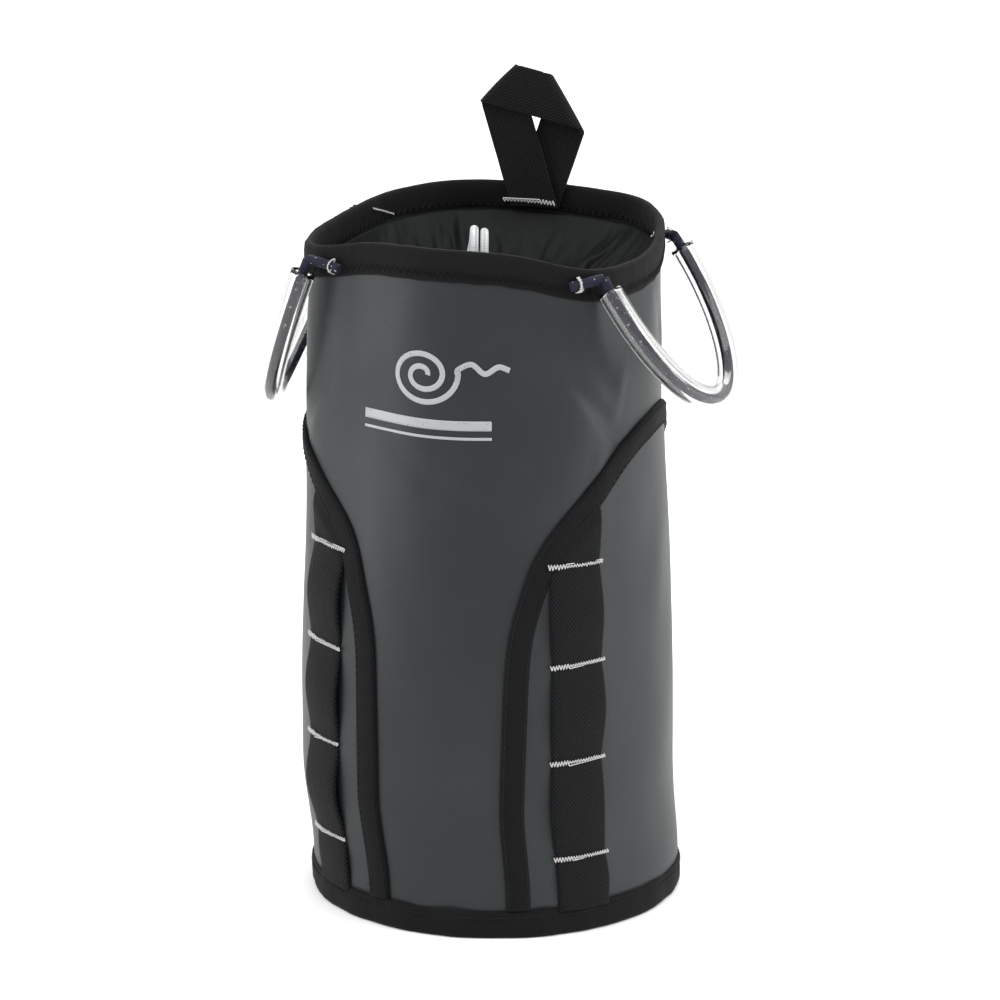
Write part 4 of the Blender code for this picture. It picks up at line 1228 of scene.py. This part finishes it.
def loop_line(loop):
    front, back = loop_end(loop, "front"), loop_end(loop, "back")
    middle, chord = (front + back) / 2, (back - front) / 2
    along = chord.normalized()
    outwards = along.cross(Vector((0, 0, 1))) * loop["side"]
    tilt = radians(loop["tilt"])
    down = outwards * sin(tilt) - Vector((0, 0, 1)) * cos(tilt)
    down = (down - along * down.dot(along)).normalized()
    half, depth = (v * MM for v in loop["half"])
    neck = loop["neck"] * MM
    line = []
    for n in range(12):
        share = n / 12
        line.append((-(chord.length + (half - chord.length) * sin(share * pi / 2)), neck * share))
    for n in range(61):
        angle = pi * n / 60
        line.append((-half * cos(angle), neck + depth * sin(angle)))
    line += [(-x, w) for x, w in line[11::-1]]
    return [middle + along * x + down * w for x, w in line], middle, down


def trimmed(line, cut):
    """The polyline without this length at both ends."""
    for _ in range(2):
        left = cut
        while (line[1] - line[0]).length < left:
            left -= (line[1] - line[0]).length
            line = line[1:]
        line = [line[0] + (line[1] - line[0]).normalized() * left, *line[1:]][::-1]
    return line


# %% Tubes and their cords
for loop_name, loop in GEAR_LOOPS.items():
    line, middle, down = loop_line(loop)
    body = f"gear_loop_{loop_name}"
    tube_line = spaced(trimmed(line, TUBE_FROM_PIVOT), 2.2 * MM)
    pipe(f"gear_tube_{loop_name}", tube_line, TUBE_RADIUS, sides=28, inner=TUBE_BORE, body=body,
         nodes=[f"gear_loop_tube_{loop_name}"], slot="clear_tube", finish=TUBE)
    cord = pipe(f"gear_cord_{loop_name}", spaced(line, 1.6 * MM), LOOP_CORD_RADIUS, sides=14, body=None,
                nodes=[f"gear_loop_cord_{loop_name}"], slot="loop_cord", finish=LOOP_CORD)
    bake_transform(cord)
    print(loop_name, "tube is", round(length_of(tube_line) / MM), "mm long")

# %% [markdown]
# Each sewn end is one more length of the same cord, pressed a little flat under a bar tack that wraps across it. The
# tack goes right through the binding, so its under-thread also shows as a pale line inside the mouth.

# %% Sewn cord ends
for loop_name, loop in GEAR_LOOPS.items():
    side = loop["side"]
    for end in ("front", "back"):
        tail = [smooth_wall(side * t, z * MM, o * MM) for t, o, z in loop[f"{end}_tail"]]
        tail_line = smooth_route([loop_end(loop, end), *tail], 1.2 * MM)
        pipe(f"gear_cord_sewn_{loop_name}_{end}", tail_line, LOOP_CORD_RADIUS * 0.98, sides=14,
             nodes=[f"gear_loop_cord_end_{loop_name}_{end}"], slot="loop_cord", finish=LOOP_CORD)
        turn, z = loop[f"{end}_tack"]
        places = []
        for n in range(13):
            share = n / 6 - 1
            lift = 1.9 + 4.5 * sqrt(max(0.0, 1 - (share * 0.97) ** 2))
            places.append((smooth_wall(side * turn, (z + share * 3.3) * MM, lift * MM), outward_at(side * turn)))
        curved_tack(f"gear_tack_{loop_name}_{end}", places, 2.4 * MM, [f"gear_loop_tack_{loop_name}_{end}"],
                    pitch=0.9 * MM, radius=0.2 * MM)
        inside = [(wall(side * (turn - 6 + n), (z + 3.5 - 0.5 * n) * MM, -3.0 * MM), -outward_at(side * turn))
                  for n in range(12)]
        curved_tack(f"gear_tack_inside_{loop_name}_{end}", inside, 0.7 * MM, pitch=1.4 * MM, radius=0.22 * MM)
print("four cord ends sewn")

# %% [markdown]
# ## The gathered skirt
# The skirt is a straight band of thin nylon, as long as the mouth is round, sewn under the rim binding. A drawcord
# in its hem gathers it to a small throat. Cloth simulation shapes it as the real one is shaped: the band hangs
# straight down to start with, then its pinned lower edge is drawn up and in to the hem's ring, and the spare cloth
# falls into folds.

# %% Band of cloth
SKIRT_AROUND, SKIRT_ROWS, SKIRT_LENGTH = 216, 22, 62 * MM
throat = closure_point(*THROAT)
start_points, gathered_points, maps = [], [], []
for r in range(SKIRT_ROWS):
    share = r / (SKIRT_ROWS - 1)
    for c in range(SKIRT_AROUND):
        turn = 360 * c / SKIRT_AROUND
        top = smooth_wall(turn, rim_height(turn) - 12.4 * MM, -2.2 * MM)
        straight = top - Vector((0, 0, SKIRT_LENGTH * share)) - outward_at(turn) * 3 * MM * share
        away = top - throat
        angle = atan2(away.y, away.x)
        reach = (THROAT_RADIUS + 1.5 + 0.8 * sin(27 * angle)) * MM
        hem_point = throat + Vector((cos(angle) * reach, sin(angle) * reach, 1.2 * MM * cos(19 * angle)))
        fold = sin(31 * angle + 2 * sin(3 * angle)) * 2.6 * MM * share * (1 - share) * 4
        sag = Vector((0, 0, -13 * MM * sin(pi * share) + fold))
        start_points.append(straight)
        gathered_points.append(top.lerp(hem_point, share) + sag)
        maps.append((radians(turn) * 76, SKIRT_LENGTH / MM * share))
skirt_faces = [f[::-1] for f in grid_faces(SKIRT_ROWS, SKIRT_AROUND, True)]


def simulate_skirt(obj):
    """Draws the lower edge in with a shape key while the cloth falls, then keeps the last frame."""
    obj.shape_key_add(name="hanging")
    key = obj.shape_key_add(name="gathered")
    last_row = len(gathered_points) - SKIRT_AROUND
    for n, point in enumerate(gathered_points):
        key.data[n].co = point
    group = obj.vertex_groups.new(name="sewn")
    group.add(list(range(SKIRT_AROUND)) + list(range(last_row, len(gathered_points))), 1.0, "REPLACE")
    key.value = 0.0
    key.keyframe_insert("value", frame=1)
    key.value = 1.0
    key.keyframe_insert("value", frame=24)
    cloth = obj.modifiers.new("cloth", "CLOTH")
    cloth.settings.vertex_group_mass = "sewn"
    cloth.settings.quality = 8
    cloth.settings.mass = 0.12
    cloth.settings.tension_stiffness = cloth.settings.compression_stiffness = 12
    cloth.settings.shear_stiffness = 4
    cloth.settings.bending_stiffness = 0.05
    cloth.settings.air_damping = 2
    cloth.collision_settings.use_collision = False
    cloth.point_cache.frame_start, cloth.point_cache.frame_end = 1, 40
    scene = bpy.context.scene
    for number in range(1, 41):
        scene.frame_set(number)
    graph = bpy.context.evaluated_depsgraph_get()
    data = bpy.data.meshes.new_from_object(obj.evaluated_get(graph))
    obj.modifiers.clear()
    obj.shape_key_clear()
    obj.animation_data_clear()
    obj.data.animation_data_clear()
    obj.vertex_groups.clear()
    obj.data = data
    scene.frame_set(1)
    return obj


# %% Gather the skirt
use_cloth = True
skirt = link_mesh("gathered_skirt", start_points if use_cloth else gathered_points, skirt_faces, maps, body=None,
                  nodes=["closure_skirt"], slot="skirt_nylon", finish=SKIRT)
if use_cloth:
    simulate_skirt(skirt)
skirt.data.shade_smooth()
round_off = skirt.modifiers.new("rounded", "SUBSURF")
round_off.levels = round_off.render_levels = 1
thicken(skirt, 0.25 * MM, 0)
settle(skirt)
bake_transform(skirt)
heights = [v.co.z / MM for v in skirt.data.vertices]
print("skirt spans heights", round(min(heights), 1), "to", round(max(heights), 1), "mm; cloth simulated:", use_cloth)

# %% [markdown]
# The hem is a narrow channel bunched up on its cord, so it is a ring whose section swells and pinches with each
# gather.

# %% Hem
hem_line = [throat + Vector((cos(2 * pi * n / 180), sin(2 * pi * n / 180), 0)) * THROAT_RADIUS * MM
            + Vector((0, 0, 0.8 * MM * sin(2 * pi * n * 7 / 180))) for n in range(180)]


def bunched(angle, along):
    gathers = abs(sin(along / MM * 0.62)) ** 0.7
    return 0.86 + 0.34 * gathers + 0.12 * noise(Vector((along / MM * 0.3, cos(angle), sin(angle))))


pipe("bunched_hem", hem_line, HEM_RADIUS * MM, sides=16, shape=bunched, closed=True, body="closure",
     nodes=["closure_hem"], slot="skirt_nylon", finish=SKIRT)
print("hem bunched on its cord")

# %% [markdown]
# ## Print
# The front carries a plain grey print: a rope coiled in a spiral above a bar. Each stroke is a flat ribbon laid a
# hair's breadth off the wall.

# %% Printed mark
PRINT_TURN, PRINT_HEIGHT = -3.5, 238 * MM


def printed_stroke(name, line, width):
    """A ribbon of ink along a line of (across, up) points in millimetres."""
    line = spaced([Vector((x, y, 0)) for x, y in line], 0.8)
    points, uvs = [], []
    for n, point in enumerate(line):
        along = (line[min(n + 1, len(line) - 1)] - line[max(n - 1, 0)]).normalized()
        aside = Vector((-along.y, along.x, 0))
        for shift in (-0.5, -0.25, 0, 0.25, 0.5):
            spot = point + aside * width * shift
            turn = PRINT_TURN + degrees(spot.x * MM / (72 * MM))
            points.append(wall(turn, PRINT_HEIGHT + spot.y * MM, 0.14 * MM))
            uvs.append((spot.x, spot.y))
    faces = [f[::-1] for f in grid_faces(len(line), 5)]
    stroke = link_mesh(name, points, faces, uvs, slot="thread", finish=INK)
    return thicken(stroke, 0.05 * MM, 1)


COIL_START, COIL_GROWTH, COIL_STEP, COIL_STEPS, ROPE_WIDTH = 4, 1.75, 0.18, 72, 2.4
spiral = []
for n in range(COIL_STEPS):
    t = n * COIL_STEP
    reach = COIL_START + COIL_GROWTH * t
    spiral.append((reach * cos(t) * 0.62, 7 + reach * sin(t) * 0.5))
printed_stroke("print_coil", spiral, ROPE_WIDTH)
end_x, end_y = spiral[-1]
rope_end = spiral[-3:] + [(end_x + x, end_y + y) for x, y in ((6, 2.5), (12, -1.5), (18, 1.5), (23, 0))]
printed_stroke("print_rope_end", [p[:2] for p in smooth_route([(*p, 0) for p in rope_end], 0.6)], ROPE_WIDTH)
printed_stroke("print_bar_long", [(-31, -14), (31, -14)], 4.2)
printed_stroke("print_bar_short", [(-31, -19.5), (31, -19.5)], 1.2)
print("four printed strokes")
